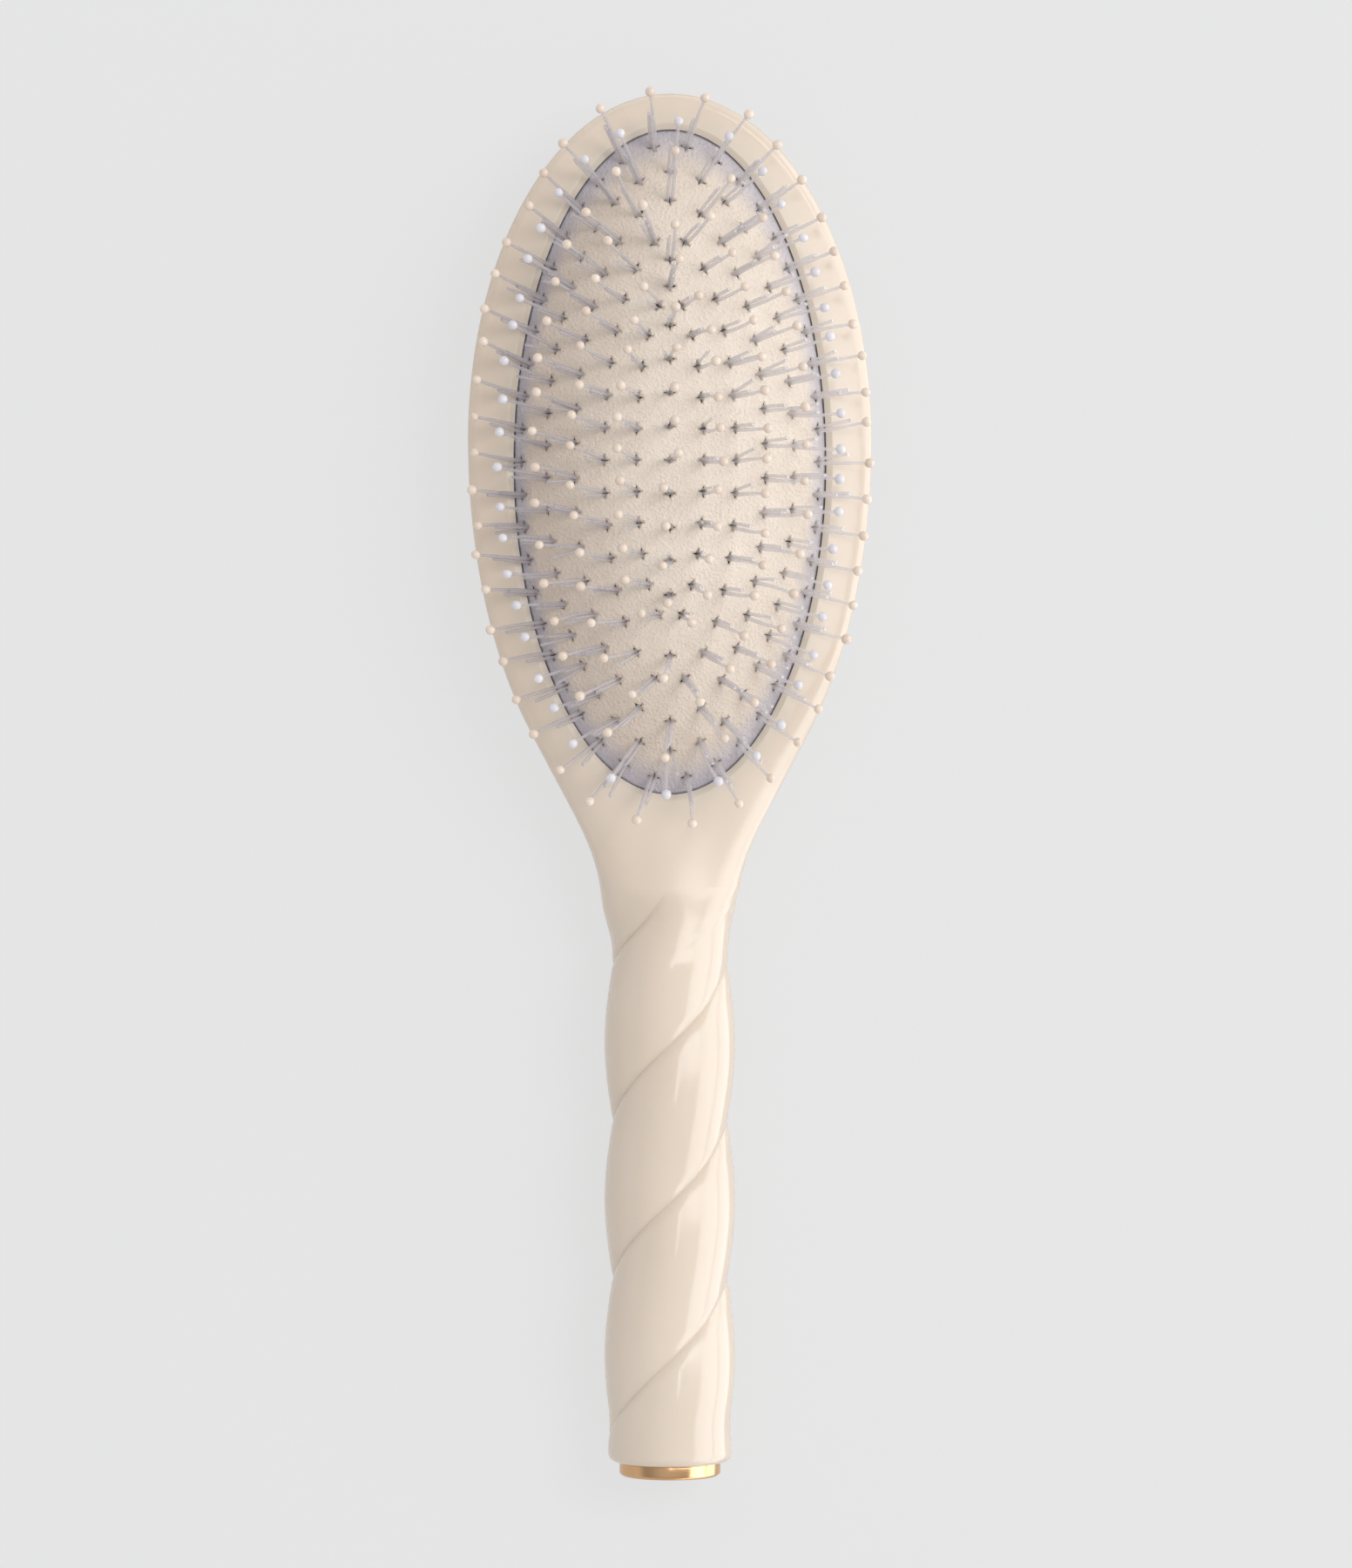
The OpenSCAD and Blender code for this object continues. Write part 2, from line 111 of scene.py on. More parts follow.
# %% Write colours as they look on a screen
def srgb(red, green, blue):
    """The linear colour that a shader needs for a colour seen as 0 to 255 on a screen."""
    def linear(value):
        share = value / 255
        return share / 12.92 if share <= 0.04045 else ((share + 0.055) / 1.055) ** 2.4
    return (linear(red), linear(green), linear(blue), 1.0)


print("cream is", tuple(round(part, 3) for part in srgb(226, 211, 194)))

# %% Wire nodes in a few plain steps
class Wiring:
    """Short ways to add nodes to a node tree, of a material or of the world."""

    def __init__(self, tree):
        self.tree = tree

    def add(self, kind, inputs=(), **values):
        """A node: `inputs` are links or numbers by socket, and the rest are set by name."""
        node = self.tree.nodes.new(kind)
        for key, value in values.items():
            name = key.replace("_", " ")
            if name in node.inputs:
                node.inputs[name].default_value = value
            else:
                setattr(node, key, value)
        for socket, source in dict(inputs).items():
            if isinstance(source, (tuple, float)):
                node.inputs[socket].default_value = source
            else:
                self.tree.links.new(source, node.inputs[socket])
        return node

    def axes(self, place):
        """The x, y and z of a place, by the names X, Y and Z."""
        return self.add("ShaderNodeSeparateXYZ", {"Vector": place}).outputs

    def length(self, place):
        """How far a place is from the middle."""
        return self.add("ShaderNodeVectorMath", {0: place}, operation="LENGTH").outputs["Value"]

    def sums(self, operation, *inputs):
        """The result of a sum on values and numbers."""
        node = self.add("ShaderNodeMath", dict(enumerate(inputs)), operation=operation)
        return node.outputs[0]

    def ramp(self, source, *stops):
        """Colours along a value: each stop is (place, colour)."""
        node = self.add("ShaderNodeValToRGB", {"Fac": source})
        elements = node.color_ramp.elements
        while len(elements) < len(stops):
            elements.new(0.5)
        for element, (position, colour) in zip(elements, stops):
            element.position = position
            element.color = colour
        return node.outputs["Color"]

    def spread(self, source, low, high):
        """Spreads a value that runs from 0 to 1 between two numbers."""
        node = self.add("ShaderNodeMapRange", {"Value": source}, To_Min=low, To_Max=high)
        return node.outputs["Result"]

    def rising(self, value, start, end, soft=False):
        """0 where a value is at `start`, rising to 1 where it is at `end`."""
        node = self.add("ShaderNodeMapRange", {"Value": value}, From_Min=start, From_Max=end,
                        interpolation_type="SMOOTHSTEP" if soft else "LINEAR")
        return node.outputs["Result"]

    def blended(self, source, first, second):
        """Mixes two colours by a value."""
        return self.add("ShaderNodeMix", {0: source, 6: first, 7: second},
                        data_type="RGBA").outputs[2]


print("wiring ready")

# %% Build materials on top of that
class Finish(Wiring):
    """A node material with short ways to add grain and bumps to it."""

    def __init__(self, name, **sockets):
        self.material = bpy.data.materials.new(name)
        self.material.use_nodes = True
        super().__init__(self.material.node_tree)
        self.shader = self.tree.nodes["Principled BSDF"]
        for socket, value in sockets.items():
            self.shader.inputs[socket.replace("_", " ")].default_value = value
        self.place = self.add("ShaderNodeTexCoord").outputs["Object"]

    def stretched(self, scale, shift=(0, 0, 0)):
        """The place on the object, shifted and then scaled along x, y and z."""
        moved = self.add("ShaderNodeVectorMath", {0: self.place, 1: shift}, operation="ADD")
        sized = self.add("ShaderNodeVectorMath", {0: moved.outputs[0], 1: scale},
                         operation="MULTIPLY")
        return sized.outputs[0]

    def clouds(self, size, detail=2.0, place=None):
        """Cloudy noise with features about `size` metres wide."""
        node = self.add("ShaderNodeTexNoise", {"Vector": place or self.place},
                        Scale=1 / size, Detail=detail)
        return node.outputs["Fac"]

    def mottled(self, size, low, high, stops=(0.3, 0.7), detail=2.0):
        """Two colours in clouds about `size` metres wide."""
        return self.ramp(self.clouds(size, detail), *zip(stops, (low, high)))

    def bump(self, height, depth, strength=1.0, over=None):
        """Raises the surface by `depth` metres where the height is 1."""
        links = {"Height": height} | ({"Normal": over} if over else {})
        node = self.add("ShaderNodeBump", links, Strength=strength, Distance=depth)
        return node.outputs["Normal"]

    def done(self, **links):
        for socket, source in links.items():
            self.tree.links.new(source, self.shader.inputs[socket.replace("_", " ")])
        return self.material


print("finish helper ready")

# %% [markdown]
# ## Helpers for meshes
#
# Most of the brush is made of rows of points: sections along a body, or loops round an
# opening. Each such sheet is a grid, and a piece is several grids whose meeting points
# fall on each other exactly, so that merging them gives one closed skin. Edges that
# meet at a clear angle stay crisp, and everything else is shaded smooth.

# %% Turn grids of points into one smooth mesh
MERGE_DISTANCE = 1e-7
COLLAPSE_DISTANCE = 1e-8
LEAST_VALLEY = 2


def sew(name, grids, crisp_angle=30.0, crisp_valley=None):
    """One mesh from grids of points; `crisp_valley(y)` says where any inward fold is crisp."""
    corners, faces, start = [], [], 0
    for grid in grids:
        rows, columns = grid.shape[:2]
        index = start + np.arange(rows * columns).reshape(rows, columns)
        faces.append(np.stack([index[:-1, :-1], index[1:, :-1], index[1:, 1:], index[:-1, 1:]],
                              axis=-1).reshape(-1, 4))
        corners.append(grid.reshape(-1, 3))
        start += rows * columns
    mesh = bpy.data.meshes.new(name)
    mesh.from_pydata(np.concatenate(corners).tolist(), [], np.concatenate(faces).tolist())
    shape = bmesh.new()
    shape.from_mesh(mesh)
    bmesh.ops.remove_doubles(shape, verts=shape.verts, dist=MERGE_DISTANCE)
    bmesh.ops.dissolve_degenerate(shape, edges=shape.edges, dist=COLLAPSE_DISTANCE)
    bmesh.ops.recalc_face_normals(shape, faces=shape.faces)
    for face in shape.faces:
        face.smooth = True
    for edge in shape.edges:
        if len(edge.link_faces) != 2:
            continue
        bend = math.degrees(edge.calc_face_angle_signed(0.0))
        valley = bend < -LEAST_VALLEY and crisp_valley and crisp_valley(edge.verts[0].co.y)
        edge.smooth = not (abs(bend) > crisp_angle or valley)
    open_edges = sum(len(edge.link_faces) != 2 for edge in shape.edges)
    shape.to_mesh(mesh)
    shape.free()
    print(f"{name}: {len(mesh.polygons)} faces, {open_edges} open edges")
    return put_in_scene(name, mesh)


def smooth(share):
    share = np.clip(share, 0, 1)
    return share * share * (3 - 2 * share)


def mix(first, second, share):
    return first + (second - first) * share

# %% [markdown]
# ## The body's outline
#
# Seen from above, the head is half an oval at the tip and part of a longer one at the
# shoulders, then a curve runs into the handle, which is two strands twisted together.
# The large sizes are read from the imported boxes, and the fine ones are the product's own.

# %% Name the sizes of the body
body_low, body_high = (np.array(corner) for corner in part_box("brush_body"))
cushion_low, cushion_high = (np.array(corner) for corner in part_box("rubber_cushion"))

HALF_WIDTH = body_high[0]
TIP_Y = body_high[1]
END_Y = body_low[1]
TIP_LENGTH = 60 * MM
SHOULDER_LENGTH = 70 * MM
SHOULDER_ANGLE = math.radians(45.6)
WIDEST_Y = TIP_Y - TIP_LENGTH
SHOULDER_END_Y = WIDEST_Y - SHOULDER_LENGTH * math.sin(SHOULDER_ANGLE)
NECK_END_Y = TIP_Y - 152 * MM
CREASE_Y = TIP_Y - 137.4 * MM
STRAND_R = 10 * MM
STRAND_OFFSET = 1.4 * MM
HALF_TURN = 27.3 * MM
HANDLE_R = STRAND_R + STRAND_OFFSET
END_R = STRAND_R + 0.55 * STRAND_OFFSET
END_ROUND = 1.5 * MM
FADE_LENGTH = 0.4 * HALF_TURN
CREASE_RISE = 0.22 * HALF_TURN
CREASE_W = 2.2 * MM
CREASE_ROUND = 4.6 * MM
CREASE_SLOPE = math.atan(math.pi * HANDLE_R / HALF_TURN)
print(f"half width {HALF_WIDTH / MM:.2f} mm, from y {END_Y / MM:.1f} to {TIP_Y / MM:.1f} mm")

# %% Follow the outline from the widest line to the lower end
def fade_out(y):
    """0 along the handle, rising to 1 where the strands melt into the round lower end."""
    return smooth((END_Y + END_ROUND + FADE_LENGTH - y) / FADE_LENGTH)


def grip_radius(y):
    return mix(HANDLE_R, END_R, fade_out(y))


def lower_outline():
    """Half width against y, below the widest line, closely enough spaced to look up."""
    angle = np.linspace(0, SHOULDER_ANGLE, 600)
    shoulder = np.column_stack([HALF_WIDTH * np.cos(angle),
                                WIDEST_Y - SHOULDER_LENGTH * np.sin(angle)])
    pull = (SHOULDER_END_Y - NECK_END_Y) / 2
    slope = HALF_WIDTH * math.tan(SHOULDER_ANGLE) / SHOULDER_LENGTH
    start = shoulder[-1]
    guides = (start, start + pull * np.array([-slope, -1]),
              np.array([HANDLE_R, NECK_END_Y + pull]), np.array([HANDLE_R, NECK_END_Y]))
    s = np.linspace(0, 1, 600)[1:, None]
    neck = sum(weight * guide for weight, guide in
               zip(((1 - s) ** 3, 3 * s * (1 - s) ** 2, 3 * s * s * (1 - s), s ** 3), guides))
    y = np.linspace(NECK_END_Y, END_Y, 900)[1:]
    return np.concatenate([shoulder, neck, np.column_stack([grip_radius(y), y])])[::-1]


outline_table = lower_outline()


def half_width(y):
    return np.interp(y, outline_table[:, 1], outline_table[:, 0])


print(f"half width at the neck {half_width(SHOULDER_END_Y) / MM:.1f} mm")

# %% [markdown]
# ## Sections of the body
#
# Each section of the head is a flat rim, a rounded edge, a short straight side and a
# full curved back. On the handle each section is two overlapping circles that turn as
# they go down. Between the two, every point of the head's section glides to its partner
# on the handle, which is how the shoulders flow into the twist without a seam.
# Round the cushion's mouth a row starts at the mouth's edge instead of the middle line,
# so the opening is an exact oval and needs no cutting. The rim's edge is a small round
# on the head and grows into a wide, soft shoulder at the neck. Below the widest line
# its width is measured level with the row, so that no row crosses the one beside it.
# The strands don't meet in a knife cut: a shallow, round-sided dip opens each crease.

# %% Place the stations of half a section
FLAT_END, EDGE_END, SIDE_END, BOTTOM = 3, 7, 8, 18
near_crease = np.array([0, 0.08, 0.18, 0.3, 0.45, 0.65, 0.9, 1.2, 1.55, 2.0, 2.5])
stations = np.concatenate([
    near_crease,
    np.linspace(FLAT_END, EDGE_END, 15)[:-1],
    np.linspace(EDGE_END, SIDE_END, 4)[:-1],
    np.linspace(SIDE_END, BOTTOM - 3, 22),
    BOTTOM - near_crease[::-1],
])
ring_stations = np.concatenate([stations, 2 * BOTTOM - stations[-2::-1]])
BELLY_Z = 13.5 * MM
RIM_ROUND = 1.8 * MM
SHOULDER_ROUND = 7 * MM
SHOULDER_DROP = 4.2 * MM
SHOULDER_Y = TIP_Y - 92 * MM
BACK_POWER = 2.4
print(len(ring_stations), "points round the body")

# %% Shape the head's sections
def edge_rounding(y):
    """Width and depth of the rounding of the rim's edge, which grows wide at the neck."""
    share = smooth((SHOULDER_Y - y) / (SHOULDER_Y - FLAT_END_Y))
    return mix(RIM_ROUND, SHOULDER_ROUND, share), mix(RIM_ROUND, SHOULDER_DROP, share)


def head_rings(w, y, normal_x, normal_y, inner_x, inner_y):
    """Whole head sections, from the left of the mouth under the back to its right."""
    k = stations[None, :]
    w, y, nx, ny, ix, iy = (v[:, None] for v in (w, y, normal_x, normal_y, inner_x, inner_y))
    round_w, round_h = edge_rounding(y)
    across = np.clip(k / FLAT_END, 0, 1)
    over_edge = np.radians(90) * np.clip((k - FLAT_END) / (EDGE_END - FLAT_END), 0, 1)
    down_side = np.clip(k - EDGE_END, 0, 1)
    under = np.radians(90) * np.clip((k - SIDE_END) / (BOTTOM - SIDE_END), 0, 1)
    below = y < WIDEST_Y
    step_x, step_y = np.where(below, 1 / np.maximum(nx, 0.2), nx), np.where(below, 0, ny)
    inset = round_w * (1 - np.sin(over_edge))
    rise = np.clip((y - WIDEST_Y) / TIP_LENGTH, 0, 1)
    lowest = BELLY_Z * (1 - (1 - rise ** BACK_POWER) ** (1 / BACK_POWER))
    x = np.where(k <= FLAT_END, mix(ix, w - round_w * step_x, across), w - inset * step_x)
    y_all = np.where(k <= FLAT_END, mix(iy, y - round_w * step_y, across), y - inset * step_y)
    z = RIM_Z - round_h * (1 - np.cos(over_edge)) - (RIM_Z - round_h - BELLY_Z) * down_side
    power = 2 / BACK_POWER
    x = np.where(k > SIDE_END, w * np.clip(np.cos(under), 0, 1) ** power, x)
    z = np.where(k > SIDE_END, BELLY_Z - (BELLY_Z - lowest) * np.sin(under) ** power, z)
    x, y_all, z = np.broadcast_arrays(x, y_all, z)
    left = np.stack([-x, y_all, z], axis=-1)
    right = np.stack([x, y_all, z], axis=-1)[:, -2::-1]
    return np.concatenate([left, right], axis=1)

# %% Shape the handle's sections
def handle_rings(w, y):
    """Round sections that turn with y, and how far the two strands fall short of them."""
    w, y = w[:, None], y[:, None]
    round_angle = np.radians(10 * ring_stations)[None, :]
    angle = np.pi / 2 + np.pi * np.maximum(0, CREASE_Y - y) / HALF_TURN + round_angle
    radius = np.minimum(w, grip_radius(y))
    z_radius = np.where(y < END_Y + END_ROUND, radius, grip_radius(y))
    depth_share = smooth((CREASE_Y - y) / CREASE_RISE) * (1 - fade_out(y))
    offset = STRAND_OFFSET * depth_share
    from_crease = np.mod(round_angle, np.pi)
    to_crease = np.minimum(from_crease, np.pi - from_crease) * HANDLE_R * math.cos(CREASE_SLOPE)
    dip = np.maximum(0, CREASE_W - to_crease)
    strand = np.sqrt((HANDLE_R - offset) ** 2 - (offset * np.cos(from_crease)) ** 2)
    groove = offset * np.sin(from_crease) + strand - HANDLE_R
    groove = groove - depth_share * (CREASE_ROUND - np.sqrt(CREASE_ROUND ** 2 - dip ** 2))
    x, z, y = np.broadcast_arrays(w * np.cos(angle), HANDLE_R + z_radius * np.sin(angle), y)
    inward = np.stack([groove * np.cos(angle), np.zeros_like(x), groove * np.sin(angle)], axis=-1)
    return np.stack([x, y, z], axis=-1), inward

# %% Choose the rows, and match each row of the head to a point of the mouth
BRIM_WIDTH = 2 * MM
OPENING_A = cushion_high[0] - BRIM_WIDTH
OPENING_B = (cushion_high[1] - cushion_low[1]) / 2 - BRIM_WIDTH
CUSHION_Y = (cushion_low[1] + cushion_high[1]) / 2
MOUTH_BEVEL = 1.1 * MM
GROOVE_CLEARANCE = 0.15 * MM
FLAT_MARGIN = 1 * MM
FLAT_END_Y = CUSHION_Y - OPENING_B - BRIM_WIDTH - GROOVE_CLEARANCE - FLAT_MARGIN
BELOW_MOUTH = 1.2 * MM
UPPER_ROWS, LOWER_ROWS, NECK_ROWS, GRIP_ROWS, END_ROWS = 64, 72, 64, 250, 11
SLOPE_STEP = 0.05 * MM

mouth_a = OPENING_A + MOUTH_BEVEL
mouth_b = OPENING_B + MOUTH_BEVEL
widest_angle = math.acos((WIDEST_Y - CUSHION_Y) / mouth_b)
upper_angles = np.linspace(0, widest_angle, UPPER_ROWS)
lower_angles = np.linspace(widest_angle, np.pi, LOWER_ROWS)[1:]
mouth_angles = np.concatenate([upper_angles, lower_angles])

tip_angles = np.pi / 2 * (1 - upper_angles / widest_angle)
close_y = FLAT_END_Y + BELOW_MOUTH
level = (WIDEST_Y - CUSHION_Y - mouth_b * np.cos(lower_angles)) / (WIDEST_Y - CUSHION_Y + mouth_b)
even = (lower_angles - widest_angle) / (np.pi - widest_angle)
shoulder_y = mix(WIDEST_Y, close_y, (level + even) / 2)
neck_y = np.linspace(close_y, NECK_END_Y, NECK_ROWS)[1:]
grip_y = np.linspace(NECK_END_Y, END_Y + END_ROUND, GRIP_ROWS)[1:]
end_angles = np.radians(np.linspace(0, 90, END_ROWS))[1:]
print(len(mouth_angles), "rows round the mouth,", len(neck_y) + len(grip_y), "down the handle")

# %% Loft the body's outer skin
tip_w = HALF_WIDTH * np.cos(tip_angles)
tip_rows_y = WIDEST_Y + TIP_LENGTH * np.sin(tip_angles)
lower_y = np.concatenate([shoulder_y, neck_y, grip_y])
end_w = END_R - END_ROUND * (1 - np.cos(end_angles))
end_rows_y = END_Y + END_ROUND * (1 - np.sin(end_angles))

tip_normals = np.column_stack([np.cos(tip_angles) / HALF_WIDTH, np.sin(tip_angles) / TIP_LENGTH])
slope = (half_width(lower_y + SLOPE_STEP) - half_width(lower_y - SLOPE_STEP)) / (2 * SLOPE_STEP)
lower_normals = np.column_stack([np.ones_like(slope), -slope])
end_normals = np.column_stack([np.ones_like(end_w), np.zeros_like(end_w)])
normals = np.concatenate([tip_normals, lower_normals, end_normals])
normals /= np.linalg.norm(normals, axis=1)[:, None]

row_w = np.concatenate([tip_w, half_width(lower_y), end_w])
row_y = np.concatenate([tip_rows_y, lower_y, end_rows_y])
inner_x = np.zeros_like(row_w)
inner_y = row_y.copy()
inner_x[:len(mouth_angles)] = mouth_a * np.sin(mouth_angles)
inner_y[:len(mouth_angles)] = CUSHION_Y + mouth_b * np.cos(mouth_angles)

glide = smooth((FLAT_END_Y - row_y) / (FLAT_END_Y - NECK_END_Y))[:, None, None]
head = head_rings(row_w, row_y, normals[:, 0], normals[:, 1], inner_x, inner_y)
round_handle, grooves = handle_rings(row_w, row_y)
outer_skin = mix(head, round_handle, glide) + grooves
print("outer skin", outer_skin.shape[0], "x", outer_skin.shape[1])

# %% [markdown]
# ## Inside the body
#
# Under the rim's lip runs a groove that holds the cushion's brim, and below it is the air
# chamber. The mouth has a shallow bevel about a millimetre wide, and both of its edges
# are rubbed soft, so each catches a thin line of light. It could be a bevel modifier,
# but a few loops of points round the oval say exactly how wide and how soft it is. The
# lower end has the bore for the cap's spigot.

# %% Line the mouth, the groove, the chamber and the bore
LIP = 0.8 * MM
RUBBER = 1.2 * MM
FLOOR_Z = 9 * MM
BRIM_TOP_Z = RIM_Z - LIP - GROOVE_CLEARANCE
GROOVE_LOW_Z = BRIM_TOP_Z - RUBBER - GROOVE_CLEARANCE
GROOVE_WIDTH = BRIM_WIDTH + GROOVE_CLEARANCE
BORE_R = 5.05 * MM
BORE_DEPTH = 11.5 * MM

mouth_turn = np.concatenate([mouth_angles, 2 * np.pi - mouth_angles[-2::-1]])


def mouth_loop(a, b, z):
    return np.stack([-a * np.sin(mouth_turn), CUSHION_Y + b * np.cos(mouth_turn),
                     np.full_like(mouth_turn, z)], axis=-1)


bevel_profile = [(1.10, 0), (1.07, 0.004), (1.03, 0.018), (0.6, 0.20),
                 (0.16, 0.39), (0.05, 0.45), (0, 0.54)]
grown = [(grow * MM, RIM_Z - down * MM) for grow, down in bevel_profile]
grown += [(0, RIM_Z - LIP), (GROOVE_WIDTH, RIM_Z - LIP), (GROOVE_WIDTH, GROOVE_LOW_Z),
          (0, GROOVE_LOW_Z), (0, FLOOR_Z)]
lining = [mouth_loop(OPENING_A + grow, OPENING_B + grow, z) for grow, z in grown]
lining += [mouth_loop(OPENING_A * share, OPENING_B * share, FLOOR_Z) for share in (0.6, 0.2, 0)]

end_ring = outer_skin[-1]
around_axis = np.arctan2(end_ring[:, 2] - HANDLE_R, end_ring[:, 0])


def bore_loop(radius, y):
    return np.stack([radius * np.cos(around_axis), np.full_like(around_axis, y),
                     HANDLE_R + radius * np.sin(around_axis)], axis=-1)


bore = [end_ring, bore_loop(BORE_R, END_Y), bore_loop(BORE_R, END_Y + BORE_DEPTH),
        bore_loop(0, END_Y + BORE_DEPTH)]
resin_body = sew("resin_body", [outer_skin, np.stack(lining), np.stack(bore)],
                 crisp_valley=lambda y: y < CREASE_Y)

# %% [markdown]
# ## Cream resin
#
# The body looks cast in a milky resin and polished until it mirrors the studio. Three
# things sell it: light that goes a little way in and comes back warm, a hard polish,
# and tiny differences in that polish from polishing cloths. A clear coat on top would
# mirror the studio twice, so the resin's own surface does all of it. The colour is
# almost even, with slow clouds one shade apart.
#
# Two choices here only match the portrait, and nothing is known of them on the real
# brush: the colour is one shade deeper along the head's left edge, and the polish is
# duller on the neck, because these lamps don't give the portrait's shade on the left and
# its reflections on the neck. Both stay when the light changes, so a brush for another
# picture is better without them.

# %% Polish the body
resin = Finish("cream_resin", IOR=1.5, Specular_IOR_Level=0.5,
               Subsurface_Weight=0.25, Subsurface_Scale=0.003, Subsurface_Radius=(1.0, 0.7, 0.5))
NECK_DULLING = 0.11
BLACK, WHITE = (0, 0, 0, 1), (1, 1, 1, 1)
resin_axes = resin.axes(resin.place)
cast = resin.mottled(30 * MM, srgb(224, 208, 190), srgb(230, 215, 198))
# Painted shade: the resin colour turns one shade deeper along the head's left edge, standing in for
# shade that these lamps don't cast there.
left_edge_painted_shade = resin.rising(resin_axes["X"], -14 * MM, -30 * MM, soft=True)
resin_colour = resin.blended(left_edge_painted_shade, cast, srgb(222, 206, 188))
cloth_marks = resin.clouds(1 * MM, detail=4.0, place=resin.stretched((1.0, 0.06, 1.0)))
polish = resin.spread(cloth_marks, 0.12, 0.16)
down_neck = resin.rising(resin_axes["Y"], 12 * MM, -30 * MM)
on_neck = resin.ramp(down_neck, (0.0, BLACK), (0.21, WHITE), (0.71, WHITE), (0.95, BLACK))
resin.done(
    Base_Color=resin_colour,
    Roughness=resin.sums("MULTIPLY_ADD", on_neck, NECK_DULLING, polish),
    Normal=resin.bump(resin.clouds(12 * MM, detail=1.0), 0.03 * MM, 0.4),
)
resin_body.data.materials.append(resin.material)
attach(resin_body, "root")
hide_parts("brush_body")
print("resin on", resin_body.name)

# %% [markdown]
# ## Where the tufts stand
#
# The pins stand in a middle row and five oval rings, spaced evenly along each ring. Each
# tuft has its own frame: its root on the crown, the way its pin points, and the two
# directions round and across its ring. The holes in the rubber, the pins and the balls
# are all made from these frames, so they can't drift apart.

# %% Describe the cushion's crown
CROWN_H = 6.6 * MM
PAD_GAP = 0.3 * MM
PAD_A = OPENING_A - PAD_GAP
PAD_B = OPENING_B - PAD_GAP
RING_W_SHARES = np.array([0.216, 0.42, 0.61, 0.79, 0.95])
RING_LEN_SHARES = np.array([0.49, 0.67, 0.78, 0.868, 0.952])
RIDGE_SHARE = 0.22

contour_t = np.concatenate([[0], RING_W_SHARES, [1]])
contour_len = np.concatenate([[RIDGE_SHARE], RING_LEN_SHARES, [1]])


def contour_length(t):
    """Half length of the crown's contour t, as a share, on a smooth curve through the rings."""
    width = np.diff(contour_t)
    rise = np.diff(contour_len) / width
    inner = (rise[:-1] * width[1:] + rise[1:] * width[:-1]) / (width[:-1] + width[1:])
    slopes = np.concatenate([[rise[0]], inner, [rise[-1]]])
    i = np.clip(np.searchsorted(contour_t, t, side="right") - 1, 0, len(width) - 1)
    s = (t - contour_t[i]) / width[i]
    return ((2 * s**3 - 3 * s**2 + 1) * contour_len[i]
            + (s**3 - 2 * s**2 + s) * width[i] * slopes[i]
            + (3 * s**2 - 2 * s**3) * contour_len[i + 1]
            + (s**3 - s**2) * width[i] * slopes[i + 1])


def contour_of(x, y):
    """Which contour a point lies on: 0 on the ridge and 1 at the crown's edge."""
    low, high = np.zeros_like(x), np.ones_like(x)
    for _ in range(40):
        t = (low + high) / 2
        long_share = (y - CUSHION_Y) / (PAD_B * contour_length(t))
        outside = (x / (PAD_A * t + 1e-12)) ** 2 + long_share ** 2 > 1
        low, high = np.where(outside, t, low), np.where(outside, high, t)
    return (low + high) / 2


def crown_z(t):
    return BRIM_TOP_Z + CROWN_H * (1 - np.square(t))


print(f"crown rises from {BRIM_TOP_Z / MM:.2f} to {crown_z(0) / MM:.2f} mm")

# %% Find the frame of every tuft
LEAN_MAX = math.radians(30)
RING_TUFTS = (22, 30, 34, 42, 46)
RING_PHASES = (0.5, 0.5, 0, 0, 0.5)
ROW_TUFTS = 9
ROW_PITCH = 5.8 * MM
END_TUFT_SHARES = (0.6, 0.52, -0.585)


class Tuft:
    """One tuft: its root, the way its pin points, and the ways round and across its ring."""

    def __init__(self, x, y, normal, t):
        lean = LEAN_MAX * math.sin(math.pi / 2 * t)
        normal = np.array(normal) / np.linalg.norm(normal)
        self.root = np.array([x, CUSHION_Y + y, crown_z(t)])
        self.along = np.array([math.sin(lean) * normal[0], math.sin(lean) * normal[1],
                               math.cos(lean)])
        self.around = np.array([-normal[1], normal[0], 0.0])
        self.across = np.cross(self.along, self.around)
        self.t = t


def even_angles(a, b, count, phase):
    turn = np.linspace(0, 2 * np.pi, 121)
    steps = np.hypot(np.diff(a * np.sin(turn)), np.diff(b * np.cos(turn)))
    run = np.concatenate([[0], np.cumsum(steps)])
    return np.interp(run[-1] * (np.arange(count) + phase) / count, run, turn)


def line_tuft(y):
    t = float(np.interp(abs(y) / OPENING_B, contour_len, contour_t))
    return Tuft(0.0, y, (0.0, -1.0 if y < 0 else 1.0), t)


def ring_of_tufts(k):
    if k == 0:
        return [line_tuft(ROW_PITCH * (i - (ROW_TUFTS - 1) / 2)) for i in range(ROW_TUFTS)]
    a, b = OPENING_A * RING_W_SHARES[k - 1], OPENING_B * RING_LEN_SHARES[k - 1]
    tufts = [Tuft(a * math.sin(turn), b * math.cos(turn), (math.sin(turn) / a, math.cos(turn) / b),
                  RING_W_SHARES[k - 1])
             for turn in even_angles(a, b, RING_TUFTS[k - 1], RING_PHASES[k - 1])]
    if k == 1:
        tufts += [line_tuft(OPENING_B * share) for share in END_TUFT_SHARES]
    return tufts


rings = [ring_of_tufts(k) for k in range(6)]
all_tufts = [tuft for ring in rings for tuft in ring]
print("tufts in each ring:", [len(ring) for ring in rings], "in all", len(all_tufts))

